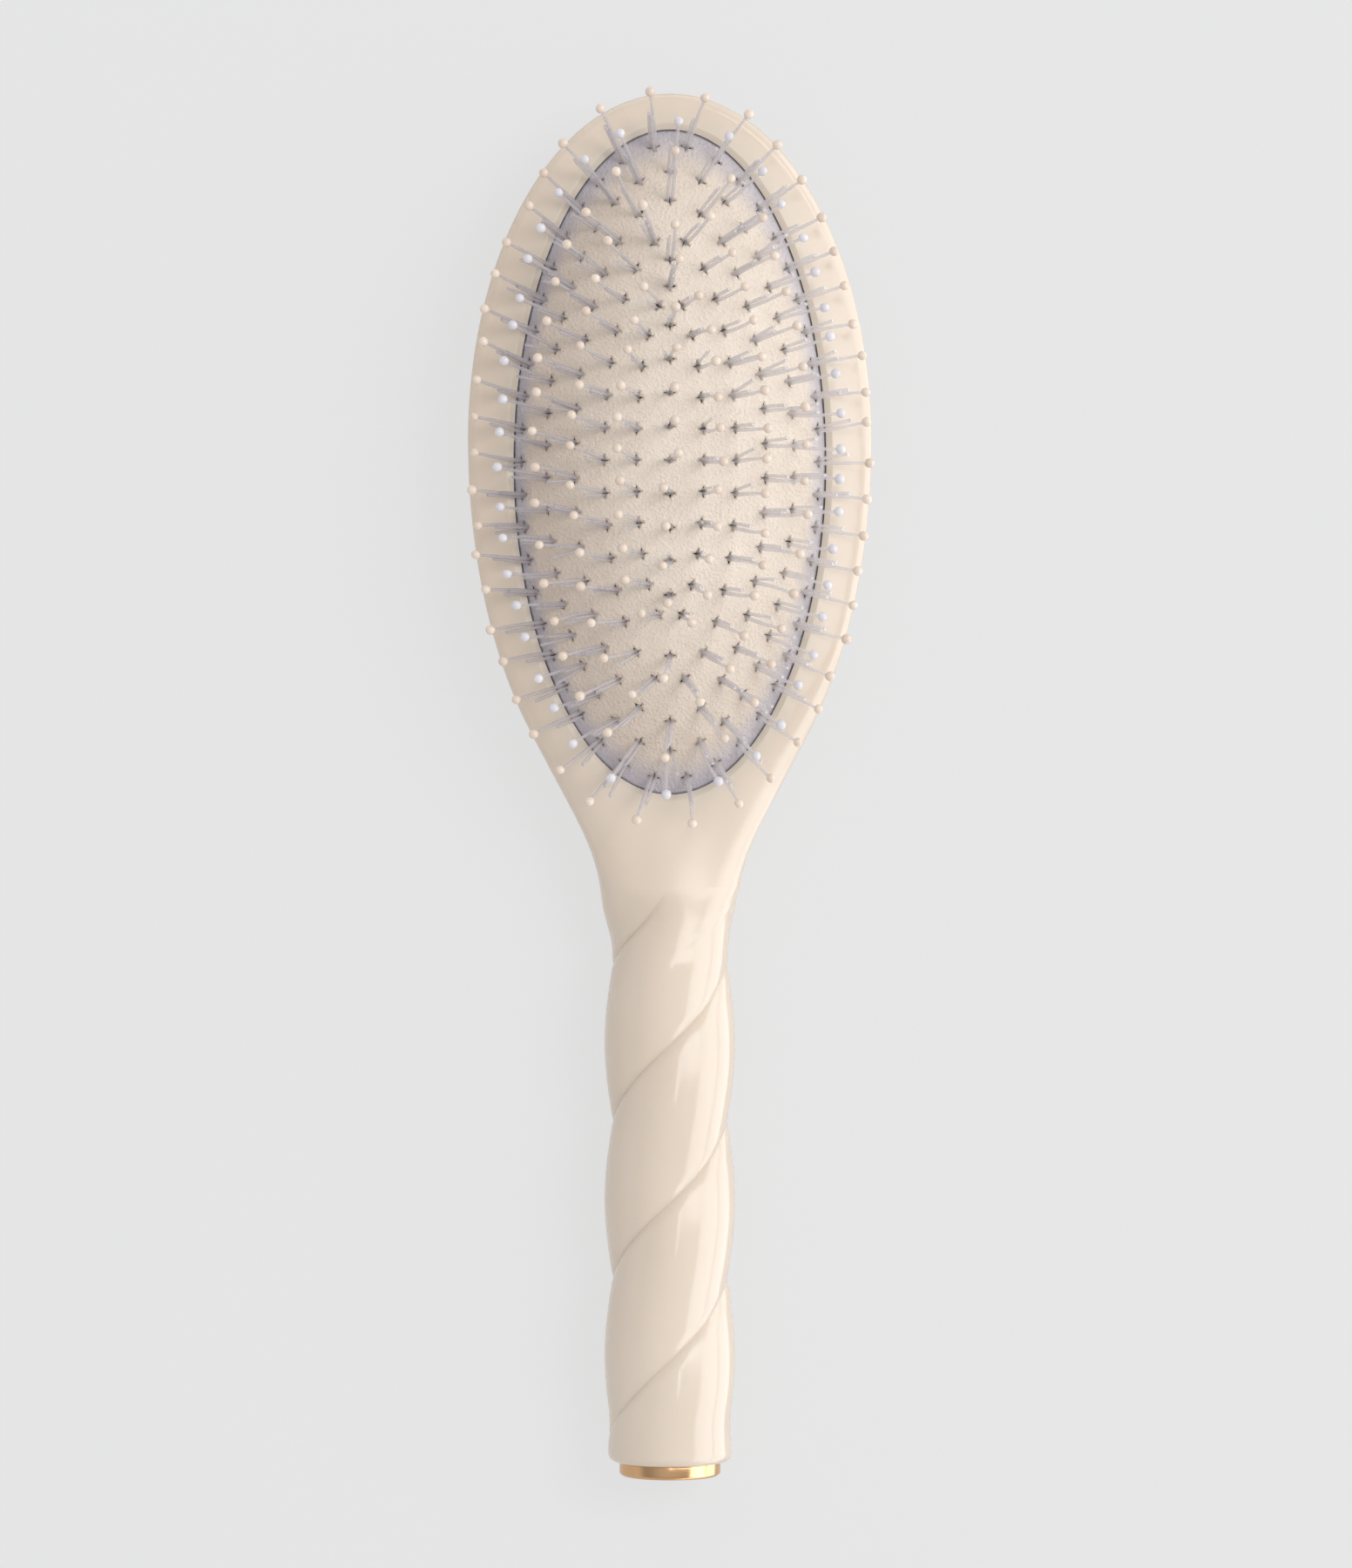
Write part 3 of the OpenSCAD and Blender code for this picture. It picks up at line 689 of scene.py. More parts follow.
# %% [markdown]
# ## The rubber cushion
#
# The cushion is a moulded sheet of soft rubber, crowned by the air under it. Every tuft
# comes through a small star, as if a blade had pierced the rubber and the tuft had spread
# the cut: its two ends stay open as dark points, and a smaller third point opens towards
# the middle of the brush. The sheet is drawn flat first, with the stars as gaps in a net
# of triangles, then lifted to the crown, puckered round the stars and given its
# thickness. A net of triangles is the right tool here, because it can be fine round the
# stars and coarse between them.

# %% Draw the stars and the loops round them
STAR_TIP = 1.0 * MM
INNER_POINT = 0.4 * MM
LEAST_ROOM = 0.75 * MM
RAGGED = 0.12
star_turn = np.radians(np.arange(16) * 22.5)
star_reach = np.tile([1.00, 0.50, 0.40, 0.36, 0.45, 0.36, 0.40, 0.50], 2) * MM
dice = np.random.default_rng(11)


def star_loop(tuft, reach):
    """Points round a tuft's hole, in plan: reach is the distance in each of the 16 directions."""
    across = tuft.across[:2]
    edge = 1 - tuft.t
    outward = np.sin(star_turn) * np.sign(across @ tuft.along[:2] + 1e-9)
    room = max(edge * PAD_A - PAD_GAP, LEAST_ROOM) / np.maximum(outward, 0.5)
    room = np.where(outward > 0.5, room, 1)
    reach = np.minimum(np.where(outward < -0.95, reach + INNER_POINT, reach), room)
    return (tuft.root[:2] + np.outer(reach * np.cos(star_turn), tuft.around[:2])
            + np.outer(reach * np.sin(star_turn), across))


stars = []
for tuft in all_tufts:
    ragged = 1 + dice.uniform(-RAGGED, RAGGED, 16)
    stars.append(star_loop(tuft, star_reach * ragged))
print(len(stars), "stars")

# %% Net the sheet with triangles
OVAL_POINTS = 240
LOOPS = ((0.22 * MM, 0.15), (0.6 * MM, 0.6))
ROUND_LOOP = STAR_TIP + 0.35 * MM
CLEAR_OF_ROOT = STAR_TIP + 0.85 * MM
STEP = 1.0 * MM
ROW_SHARE = 0.866
LOOP_LIMIT, LATTICE_LIMIT, BRIM_LIMIT = 0.985, 0.975, 0.9999
ROWS_EACH_WAY, COLUMNS_EACH_WAY = 68, 28
plan, fixed_edges = [], []


def add_loop(points, closed=True):
    first = sum(len(part) for part in plan)
    plan.append(points)
    if closed:
        fixed_edges.extend((first + i, first + (i + 1) % len(points)) for i in range(len(points)))


def plan_oval(a, b, count):
    turn = np.linspace(0, 2 * np.pi, count, endpoint=False)
    return np.column_stack([a * np.sin(turn), CUSHION_Y + b * np.cos(turn)])


def pad_reach(x, y):
    """How far out a point lies on the sheet: 1 at the crown's edge."""
    return np.hypot(x / PAD_A, (y - CUSHION_Y) / PAD_B)


add_loop(plan_oval(OPENING_A + BRIM_WIDTH, OPENING_B + BRIM_WIDTH, OVAL_POINTS))
add_loop(plan_oval(PAD_A, PAD_B, OVAL_POINTS))
for star in stars:
    add_loop(star)
for tuft in all_tufts:
    for grow, roundness in LOOPS:
        loop = star_loop(tuft, mix(star_reach + grow, ROUND_LOOP, roundness))
        inside = contour_of(loop[:, 0], loop[:, 1]) < LOOP_LIMIT
        add_loop(loop[inside], closed=False)

lattice = np.array([(STEP * (i + 0.5 * (j % 2)), CUSHION_Y + STEP * ROW_SHARE * j)
                    for j in range(-ROWS_EACH_WAY, ROWS_EACH_WAY + 1)
                    for i in range(-COLUMNS_EACH_WAY, COLUMNS_EACH_WAY + 1)])
lattice = lattice[pad_reach(lattice[:, 0], lattice[:, 1]) < LATTICE_LIMIT]
roots = np.array([tuft.root[:2] for tuft in all_tufts])
to_root = np.min(np.linalg.norm(lattice[:, None] - roots[None], axis=2), axis=1)
add_loop(lattice[to_root > CLEAR_OF_ROOT], closed=False)
flat_points = np.concatenate(plan)

net = geometry.delaunay_2d_cdt([Vector(p / MM) for p in flat_points],
                               fixed_edges, [], 0, 1e-6, True)
net_points = np.array([(v.x, v.y) for v in net[0]]) * MM
triangles = np.array(net[2])
print(len(net_points), "points and", len(triangles), "triangles in the net")

# %% Leave the stars open
def inside_loop(points, loop):
    """Which points lie inside a closed loop, by counting the edges to one side of each."""
    x, y = points[:, 0, None], points[:, 1, None]
    ax, ay = loop[:, 0], loop[:, 1]
    bx, by = np.roll(ax, -1), np.roll(ay, -1)
    crosses = ((ay > y) != (by > y)) & (x < (bx - ax) * (y - ay) / (by - ay + 1e-15) + ax)
    return crosses.sum(axis=1) % 2 == 1


middles = net_points[triangles].mean(axis=1)
nearest = np.argmin(np.linalg.norm(middles[:, None] - roots[None], axis=2), axis=1)
opened = np.zeros(len(triangles), bool)
for index, star in enumerate(stars):
    mine = np.where(nearest == index)[0]
    opened[mine] = inside_loop(middles[mine], star)
triangles = triangles[~opened]
print(int(opened.sum()), "triangles opened,", len(triangles), "left")

# %% Lift the sheet to its crown and pucker it round the stars
PUCKER_H, PUCKER_AT, PUCKER_WIDE, PUCKER_REACH = 0.16 * MM, 0.35 * MM, 0.45 * MM, 4 * MM
ROLL_H, ROLL_WIDE = 0.30 * MM, 0.16 * MM
x, y = net_points[:, 0], net_points[:, 1]
t = contour_of(x, y)
on_brim = pad_reach(x, y) > BRIM_LIMIT
top_z = np.where(on_brim, BRIM_TOP_Z, crown_z(t))

distance = np.full(len(net_points), 1.0)
for index, star in enumerate(stars):
    near = np.where(np.linalg.norm(net_points - roots[index], axis=1) < PUCKER_REACH)[0]
    gap = np.min(np.linalg.norm(net_points[near, None] - star[None], axis=2), axis=1)
    distance[near] = np.minimum(distance[near], gap)
pucker = PUCKER_H * np.exp(-((distance - PUCKER_AT) / PUCKER_WIDE) ** 2)
rolled = -ROLL_H * np.exp(-(distance / ROLL_WIDE) ** 2)
top_z = top_z + np.where(on_brim, 0, pucker + rolled)
print(f"puckers of up to {pucker.max() / MM:.2f} mm")

# %% Give the sheet its thickness
contour_a, contour_b = PAD_A * np.maximum(t, 0.02), PAD_B * contour_length(t)
downhill = np.column_stack([x / contour_a ** 2, (y - CUSHION_Y) / contour_b ** 2])
downhill /= np.maximum(np.linalg.norm(downhill, axis=1), 1e-9)[:, None]
beyond = np.clip((pad_reach(x, y) - 1) * PAD_A / (BRIM_WIDTH + PAD_GAP), 0, 1)
lean_shift = RUBBER * np.tan(LEAN_MAX * np.sin(np.pi / 2 * t)) * (1 - beyond)
top = np.column_stack([x, y, top_z])
under = np.column_stack([net_points - downhill * lean_shift[:, None],
                         np.where(on_brim, BRIM_TOP_Z, crown_z(t)) - RUBBER])

count = len(top)
edge_uses = {}
for a, b, c in triangles.tolist():
    for edge in ((a, b), (b, c), (c, a)):
        edge_uses[edge] = True
rims = [edge for edge in edge_uses if (edge[1], edge[0]) not in edge_uses]
walls = [(b, a, a + count, b + count) for a, b in rims]
pad_mesh = bpy.data.meshes.new("cushion_pad")
pad_mesh.from_pydata(np.concatenate([top, under]).tolist(), [],
                     triangles.tolist() + (triangles[:, ::-1] + count).tolist() + walls)
shape = bmesh.new()
shape.from_mesh(pad_mesh)
bmesh.ops.recalc_face_normals(shape, faces=shape.faces)
# The cut faces of the stars and the underside take the second material, a painted near-black shade.
for number, face in enumerate(shape.faces):
    face.smooth = True
    face.material_index = int(number >= len(triangles))
for edge in shape.edges:
    edge.smooth = not (len(edge.link_faces) == 2 and edge.calc_face_angle(0.0) > math.radians(50))
loose = [vertex for vertex in shape.verts if not vertex.link_faces]
bmesh.ops.delete(shape, geom=loose, context="VERTS")
shape.to_mesh(pad_mesh)
shape.free()
cushion_pad = put_in_scene("cushion_pad", pad_mesh)
print("cushion_pad:", len(pad_mesh.polygons), "faces,",
      len(rims), "edges along the brim and the stars")

# %% [markdown]
# ## Soft rubber
#
# The rubber has a fine leathery grain and hardly any shine. Along the edge it turns a cool
# lilac grey, and painted shade makes it darkest where it dips under the lip. The grain is
# two sizes of wrinkle, one laid over the other. An image could hold all this, but a few
# nodes need no unwrapping and stay sharp at any distance.
#
# Two choices here only match the portrait. A second, wider oval paints shade over the
# whole colour, darker from right to left, as the portrait's light does and these lamps
# don't, and the painted shade stays when the light changes. The cut faces of the stars and
# the underside are nearly black as painted shade, so that each star reads as a dark hole:
# their real colour can't be seen.

# %% Grain the rubber
rubber = Finish("cushion_rubber", Specular_IOR_Level=0.45, Sheen_Weight=0.12, Sheen_Roughness=0.4,
                Subsurface_Weight=0.10, Subsurface_Scale=0.0015, Subsurface_Radius=(1.0, 0.75, 0.6))


def from_oval(shift_x, shift_y):
    """How far out a place lies on an oval like the crown's: 1 at its edge."""
    return rubber.length(rubber.stretched((1 / PAD_A, 1 / PAD_B, 0), (shift_x, shift_y, 0)))


from_middle = from_oval(0, -CUSHION_Y)
plain = rubber.mottled(9 * MM, srgb(236, 222, 206), srgb(245, 232, 217), detail=3.0)
edge_share = rubber.rising(from_middle, 0.88, 0.99, soft=True)
# Painted shade: a dark blue-grey band where the rubber dips under the lip, standing in for the
# shade in that crevice.
crevice_painted_shade = rubber.rising(from_middle, 0.997, 1.005)
# Painted shade: the rubber's colour and its lilac-grey edge both darken towards the left, standing
# in for light that falls off to the left.
painted_shade_to_left = rubber.rising(from_oval(-7 * MM, -CUSHION_Y - 5 * MM), 0.4, 1.2, soft=True)
plain_with_painted_shade = rubber.blended(painted_shade_to_left, plain, srgb(219, 203, 187))
edge_tint_and_shade = rubber.blended(painted_shade_to_left, srgb(221, 215, 217), srgb(184, 177, 182))
tint_and_painted_shade = rubber.blended(crevice_painted_shade, rubber.blended(edge_share, plain_with_painted_shade, edge_tint_and_shade),
                        srgb(104, 104, 116))
wrinkles = rubber.add("ShaderNodeTexVoronoi", {"Vector": rubber.place}, Scale=1 / (0.45 * MM),
                      feature="SMOOTH_F1").outputs["Distance"]
fine = rubber.clouds(0.25 * MM, detail=3.0)
rubber.done(
    Base_Color=tint_and_painted_shade,
    Roughness=rubber.spread(rubber.clouds(4 * MM), 0.5, 0.68),
    Normal=rubber.bump(fine, 0.10 * MM, 0.8, over=rubber.bump(wrinkles, 0.22 * MM, 1.0)),
)
# Painted shade: the stars' cut faces and the rubber's underside are nearly black, so each star
# reads as a dark hole.
underside = Finish("rubber_painted_shade", Roughness=0.7, Specular_IOR_Level=0.2)
underside.done(Base_Color=underside.mottled(3 * MM, srgb(48, 44, 44), srgb(62, 57, 56)))
cushion_pad.data.materials.append(rubber.material)
cushion_pad.data.materials.append(underside.material)
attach(cushion_pad, "root")
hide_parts("rubber_cushion")
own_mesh(cushion_pad)
print("rubber on", cushion_pad.name)

# %% [markdown]
# ## Pins and filaments
#
# Each tuft has one long nylon pin with a ball on it and one to three short filaments
# beside it. The filaments are cut blunt, and some cling to their pin while others splay
# a little. Under the rubber all tufts of a ring are anchored in one band. A pin is a
# tube with a slight bow and a taper, so each catches the light in its own way.

# %% Make tubes along a bowed line
PIN_LEN = 17 * MM
BALL_R = 0.875 * MM
PIN_SIDE = -0.28 * MM
FILAMENT_SIDE = 0.37 * MM
SPREAD = math.radians(5)
STRAY = math.tan(math.radians(1.3))
BAND_WIDTH = 3 * MM
BAND_THICK = 1 * MM
BAND_GAP = 0.3 * MM
FIRST_BAND_SHARE = 0.615
PIN_RADII_MM = (0.40, 0.26)
PIN_ROWS, PIN_SIDES = 12, 12
FILAMENT_ROWS, FILAMENT_SIDES = 7, 10
BAND_POINTS = 97
FILAMENT_LEN_MM = 10
FILAMENT_R = 0.31 * MM
CUT_END_HOLLOW = 0.2 * MM


def circle_round(tuft, sides):
    """Points of a circle of radius 1, square to a tuft."""
    turn = np.linspace(0, 2 * np.pi, sides + 1)
    return np.outer(np.cos(turn), tuft.around) + np.outer(np.sin(turn), tuft.across)


def tube(start, end, radii, bow, sides, tuft, dimple=0.0):
    """A closed tube from start to end, bowed sideways by the vector bow, with a hollow cut end."""
    shares = np.linspace(0, 1, len(radii))
    circle = circle_round(tuft, sides)
    middles = start + np.outer(shares, end - start) + np.outer(np.sin(np.pi * shares), bow)
    rows = middles[:, None] + np.array(radii)[:, None, None] * circle[None]
    cap_low = np.repeat(middles[:1, None], sides + 1, axis=1)
    inward = (middles[-2] - middles[-1]) / np.linalg.norm(middles[-2] - middles[-1])
    cap_high = np.repeat((middles[-1] + inward * dimple)[None, None], sides + 1, axis=1)
    return np.concatenate([cap_low, rows, cap_high])


def strand_foot(mouth, axis, z):
    return mouth - axis * (mouth[2] - z) / axis[2]


print("tubes ready")

# %% Lay out the bands under the rubber
def band_ovals(k):
    """Outer and inner half sizes of the band of ring k, and the height of its top."""
    if k == 0:
        half_length = ROW_PITCH * (ROW_TUFTS - 1) / 2 + BAND_WIDTH / 2
        edge = np.interp(half_length / OPENING_B, contour_len, contour_t)
        return None, None, crown_z(edge) - RUBBER - BAND_GAP
    lean = LEAN_MAX * math.sin(math.pi / 2 * RING_W_SHARES[k - 1])
    shift = (RUBBER + BAND_GAP + BAND_THICK) * math.tan(lean)
    a = OPENING_A * RING_W_SHARES[k - 1] - shift
    b = OPENING_B * RING_LEN_SHARES[k - 1] - shift
    if k == 1:
        long_b = OPENING_B * FIRST_BAND_SHARE
        edge = np.interp(FIRST_BAND_SHARE, contour_len, contour_t)
    else:
        long_b = b + BAND_WIDTH / 2
        edge = (a + BAND_WIDTH / 2) / PAD_A
    outer, inner = (a + BAND_WIDTH / 2, long_b), (a - BAND_WIDTH / 2, b - BAND_WIDTH / 2)
    return outer, inner, crown_z(min(1, edge)) - RUBBER - BAND_GAP


SOFTEN = 0.2 * MM
section = [(0, SOFTEN), (0.07, 0), (0.93, 0), (1, SOFTEN), (1, BAND_THICK - SOFTEN),
           (0.93, BAND_THICK), (0.07, BAND_THICK), (0, BAND_THICK - SOFTEN), (0, SOFTEN)]


def band_grid(k):
    outer, inner, top_z = band_ovals(k)
    turn = np.linspace(0, 2 * np.pi, BAND_POINTS)
    rows = []
    for share, down in section:
        if k == 0:
            reach = ROW_PITCH * (ROW_TUFTS - 1) / 2
            half = BAND_WIDTH / 2 * max(share, 0.02)
            x = half * np.sin(turn)
            y = CUSHION_Y + half * np.cos(turn) + reach * np.sign(np.cos(turn))
        else:
            x = mix(inner[0], outer[0], share) * np.sin(turn)
            y = CUSHION_Y + mix(inner[1], outer[1], share) * np.cos(turn)
        rows.append(np.column_stack([x, y, np.full_like(turn, top_z - down)]))
    return np.stack(rows), top_z - BAND_THICK / 2


print("band of ring 5 lies at", round(band_ovals(5)[2] / MM, 2), "mm")

# %% Stand the pins and filaments of each ring
def filaments_of(tuft, foot_z, pin_axis):
    """One to three short filaments: the first beside the pin, the others across the hole."""
    places = [(FILAMENT_SIDE, 0.0), (0.05 * MM, 0.5 * MM), (0.05 * MM, -0.5 * MM)]
    number = dice.choice([1, 2, 3], p=[0.6, 0.3, 0.1])
    grids = []
    for side, over in places[:number]:
        offset = tuft.around * side + tuft.across * over
        outward = offset / np.linalg.norm(offset)
        splay = math.radians(dice.uniform(3, 8) if dice.random() < 0.3 else dice.uniform(-0.6, 0.8))
        axis = pin_axis + outward * math.tan(splay)
        axis /= np.linalg.norm(axis)
        mouth = tuft.root + offset
        end = mouth + axis * FILAMENT_LEN_MM * MM * dice.uniform(0.8, 1.15)
        thick = FILAMENT_R * dice.uniform(0.9, 1.05)
        bow = outward * dice.uniform(-0.05, 0.10) * MM
        grids.append(tube(strand_foot(mouth, axis, foot_z), end, [thick] * FILAMENT_ROWS, bow,
                          FILAMENT_SIDES, tuft, CUT_END_HOLLOW))
    return grids


def pin_of(tuft, foot_z):
    axis = tuft.along - tuft.around * math.tan(SPREAD / 2)
    axis += (tuft.around * dice.normal() + tuft.across * dice.normal()) * STRAY
    axis /= np.linalg.norm(axis)
    mouth = tuft.root + tuft.around * PIN_SIDE
    ball = mouth + axis * (PIN_LEN - BALL_R)
    swing = dice.uniform(0, 2 * np.pi)
    sideways = tuft.around * math.cos(swing) + tuft.across * math.sin(swing)
    bow = sideways * dice.uniform(0.1, 0.4) * MM
    radii = np.linspace(*PIN_RADII_MM, PIN_ROWS) * MM
    return tube(strand_foot(mouth, axis, foot_z), ball, radii, bow, PIN_SIDES, tuft), ball, axis


BODIES = ["row", "ring_1", "ring_2", "ring_3", "ring_4", "ring_5"]
pin_pieces, ball_places, band_tops = [], [], []
for k, ring in enumerate(rings):
    band, foot_z = band_grid(k)
    grids, places = [band], []
    band_tops.append(foot_z + BAND_THICK / 2)
    for tuft in ring:
        pin, ball, axis = pin_of(tuft, foot_z)
        grids.append(pin)
        grids += filaments_of(tuft, foot_z, axis)
        places.append((ball, axis, tuft))
    pin_pieces.append(sew(f"nylon_pins_{k}", grids, crisp_angle=40))
    ball_places.append(places)

# %% [markdown]
# ## Nylon
#
# The pins look like drawn nylon, smooth and half clear, so what lies behind a pin shows
# through it, only fainter. Bending the light through each tube would be truer, but in
# tubes less than a millimetre thick it turns dark and grainy, so half of the light just
# passes. Fine lines run along it from the die it was drawn through.
#
# Two choices here only match the portrait. Painted light and shade make the colour run
# from grey on the left to almost white on the right, and it stays so when the light
# changes. The band that anchors a ring can't be seen on the real brush. It is nearly
# black here as painted shade, as a second material of the same piece, because a pale band
# shows through the stars.

# %% Draw the nylon
nylon = Finish("pin_nylon", IOR=1.5, Specular_IOR_Level=0.5, Alpha=0.5)
die_lines = nylon.clouds(0.15 * MM, place=nylon.stretched((1.0, 1.0, 0.03)))
# Painted light and shade: the nylon's colour runs from grey on the left to almost white on the
# right.
painted_light_to_right = nylon.rising(nylon.axes(nylon.place)["X"], -30 * MM, 30 * MM)
nylon_colour_and_painted_light = nylon.ramp(painted_light_to_right, (0.0, srgb(196, 191, 196)), (0.5, srgb(226, 221, 223)),
                          (1.0, srgb(250, 247, 249)))
nylon.done(
    Base_Color=nylon_colour_and_painted_light,
    Roughness=nylon.spread(die_lines, 0.2, 0.35),
    Normal=nylon.bump(die_lines, 0.005 * MM, 0.3),
)
# Painted shade: the anchoring bands are nearly black, so what shows through the stars reads as
# shade.
anchor = Finish("band_painted_shade", Roughness=0.6, Specular_IOR_Level=0.3)
anchor.done(Base_Color=anchor.mottled(4 * MM, srgb(44, 42, 44), srgb(56, 53, 55),
                                      stops=(0.35, 0.65)))
BAND_MARGIN = 0.01 * MM
for k, piece in enumerate(pin_pieces):
    piece.data.materials.append(nylon.material)
    piece.data.materials.append(anchor.material)
    corners = piece.data.vertices
    for face in piece.data.polygons:
        highest = max(corners[index].co.z for index in face.vertices)
        face.material_index = int(highest < band_tops[k] + BAND_MARGIN)
    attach(piece, BODIES[k])
    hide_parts(f"bristle_ring_{k}")
print("nylon on", len(pin_pieces), "rings")

# %% [markdown]
# ## Ball tips
#
# Each ball is modelled as a drop that the pin was dipped into: slightly longer than
# wide, running a little way down the pin, and no two of the same size. Most are a
# pinkish beige, and the fourth ring's are a cooler, paler lilac.

# %% Dip the pins
BALL_SIDES = 18
BALL_ROWS, COLLAR_ANGLE = 15, 62
COLLAR_SHARES = np.array([1.08, 1.2, 1.2])
COLLAR_RADII = [0.40 * MM, 0.30 * MM, 0]


def drop_grid(ball, axis, tuft):
    """A drop round the pin's end: a ball with a short collar where it runs onto the pin."""
    size = BALL_R * dice.uniform(0.88, 1.0)
    length = size * dice.uniform(1.0, 1.1)
    lat = np.radians(np.linspace(-90, COLLAR_ANGLE, BALL_ROWS))
    height = np.concatenate([-length * np.sin(lat), -length * COLLAR_SHARES])
    radius = np.concatenate([size * np.cos(lat), COLLAR_RADII])
    radius[0] = 0
    circle = circle_round(tuft, BALL_SIDES)
    return (ball + np.outer(height, axis))[:, None] + radius[:, None, None] * circle[None]


ball_pieces = []
for k, places in enumerate(ball_places):
    grids = [drop_grid(ball, axis, tuft) for ball, axis, tuft in places]
    ball_pieces.append(sew(f"ball_tips_dipped_{k}", grids, crisp_angle=60))


def tip_finish(name, low, high):
    tip = Finish(name, IOR=1.5, Specular_IOR_Level=0.5, Subsurface_Weight=0.12,
                 Subsurface_Scale=0.0005, Subsurface_Radius=(1.0, 0.7, 0.55))
    return tip.done(
        Base_Color=tip.mottled(5 * MM, low, high, stops=(0.35, 0.65), detail=1.0),
        Roughness=tip.spread(tip.clouds(0.5 * MM), 0.06, 0.14),
        Normal=tip.bump(tip.clouds(0.6 * MM), 0.01 * MM, 0.4),
    )


beige_tip = tip_finish("tip_beige", srgb(224, 205, 188), srgb(235, 219, 203))
lilac_tip = tip_finish("tip_lilac", srgb(216, 213, 218), srgb(228, 225, 229))
for k, piece in enumerate(ball_pieces):
    piece.data.materials.append(lilac_tip if k == 4 else beige_tip)
    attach(piece, BODIES[k])
    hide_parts(f"ball_tips_{k}")
print("balls on", len(ball_pieces), "rings")

# %% [markdown]
# ## The brass cap
#
# The cap is turned from bar and glued in by its spigot. A lathe shape needs only a
# profile: a face with a broken edge, the rim, and the spigot. The rounding of each edge
# is small, but without it the cap would have no line of light along it. Its satin comes
# from a fine abrasive held against it as it turned, so the marks run round the axis.

# %% Turn the cap
CAP_R = 8.8 * MM
CAP_THICK = 2.4 * MM
CAP_BEVEL = 0.4 * MM
SPIGOT_R = 5 * MM
SPIGOT_LEN = 10 * MM
SPIGOT_BEVEL = 1 * MM
CAP_POINTS = 161
soft = 0.12 * MM

profile = [(0, 0), (CAP_R * 0.5, 0), (CAP_R - CAP_BEVEL - soft, 0),
           (CAP_R - CAP_BEVEL - 0.3 * soft, 0.15 * soft),
           (CAP_R - CAP_BEVEL + 0.5 * soft, 0.7 * soft),
           (CAP_R - 0.7 * soft, CAP_BEVEL - 0.5 * soft),
           (CAP_R - 0.15 * soft, CAP_BEVEL + 0.3 * soft), (CAP_R, CAP_BEVEL + soft),
           (CAP_R, CAP_THICK - soft), (CAP_R - 0.3 * soft, CAP_THICK - 0.3 * soft),
           (CAP_R - soft, CAP_THICK), (SPIGOT_R, CAP_THICK),
           (SPIGOT_R, CAP_THICK + SPIGOT_LEN - SPIGOT_BEVEL),
           (SPIGOT_R - SPIGOT_BEVEL, CAP_THICK + SPIGOT_LEN), (0, CAP_THICK + SPIGOT_LEN)]
turn = np.linspace(0, 2 * np.pi, CAP_POINTS)
cap_grid = np.array([[(r * math.cos(a), END_Y - CAP_THICK + depth, HANDLE_R + r * math.sin(a))
                      for a in turn] for r, depth in profile])
brass_cap = sew("brass_cap", [cap_grid], crisp_angle=35)

# %% Rub the brass to a satin
brass = Finish("satin_brass", Metallic=1.0, Anisotropic=0.3)
brass_colour = brass.mottled(7 * MM, srgb(212, 168, 124), srgb(222, 180, 137), detail=3.0)
centred = brass.axes(brass.stretched((1, 1, 1), (0, 0, -HANDLE_R)))
flat_place = brass.add("ShaderNodeCombineXYZ", {"X": centred["X"], "Y": centred["Z"]}).outputs[0]
ring_place = brass.add("ShaderNodeCombineXYZ", {"X": brass.length(flat_place),
                                                "Y": centred["Y"]}).outputs[0]
turning = brass.clouds(0.12 * MM, detail=2.0, place=ring_place)
brass.done(
    Base_Color=brass_colour,
    Roughness=brass.spread(turning, 0.14, 0.26),
    Normal=brass.bump(turning, 0.01 * MM, 0.5),
)
brass_cap.data.materials.append(brass.material)
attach(brass_cap, "root")
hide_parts("end_cap")
print("brass on", brass_cap.name)

# %% [markdown]
# ## The studio
#
# A pale floor and a soft overall light carry the colours, and each lamp has one job.
# The window, high on the right, models the shapes and throws the pins' soft shadows to
# the lower left. The panel stands further round for its reflection, the band of light
# down the right side of the handle. Its glow stands two centimetres behind it, because
# two lamps in one plane hide each other from reflections. Three cards on the table are
# mirrored along the lower edges, a strip beside the camera along the right-hand rim,
# and a panel in the sky on the slope of the neck and below each crease. A lamp that is
# there to be mirrored lights nothing, and one that lights is never mirrored, so either
# can be moved without spoiling the other. The air is darker in reflections than as
# light, so that the resin keeps its own colour under the polish.

# %% Lay the floor
def plane(name, width, length, z):
    mesh = bpy.data.meshes.new(name)
    corners = [(-width / 2, -length / 2, z), (width / 2, -length / 2, z),
               (width / 2, length / 2, z), (-width / 2, length / 2, z)]
    mesh.from_pydata(corners, [], [(0, 1, 2, 3)])
    return put_in_scene(name, mesh)


FLOOR_SIZE = 6
FLOOR_GREY = srgb(230, 230, 230)
MIRRORED_GREY = (0.72, 0.72, 0.72, 1.0)
GLOW_SHARE = 0.84
floor = plane("studio_floor", FLOOR_SIZE, FLOOR_SIZE, 0)
floor_finish = Finish("studio_paper", Roughness=0.9, Specular_IOR_Level=0.1)
floor_finish.done(Base_Color=floor_finish.mottled(
    0.5, srgb(229, 229, 229), srgb(231, 231, 231), stops=(0.4, 0.6)))
rays = floor_finish.add("ShaderNodeLightPath").outputs
glow_colour = floor_finish.blended(rays["Is Glossy Ray"], FLOOR_GREY, MIRRORED_GREY)
paper_glow = floor_finish.add("ShaderNodeEmission", {"Color": glow_colour}, Strength=1.0)
seen = floor_finish.sums("MAXIMUM", rays["Is Camera Ray"], rays["Is Glossy Ray"])
seen = floor_finish.sums("MAXIMUM", seen, rays["Is Transmission Ray"])
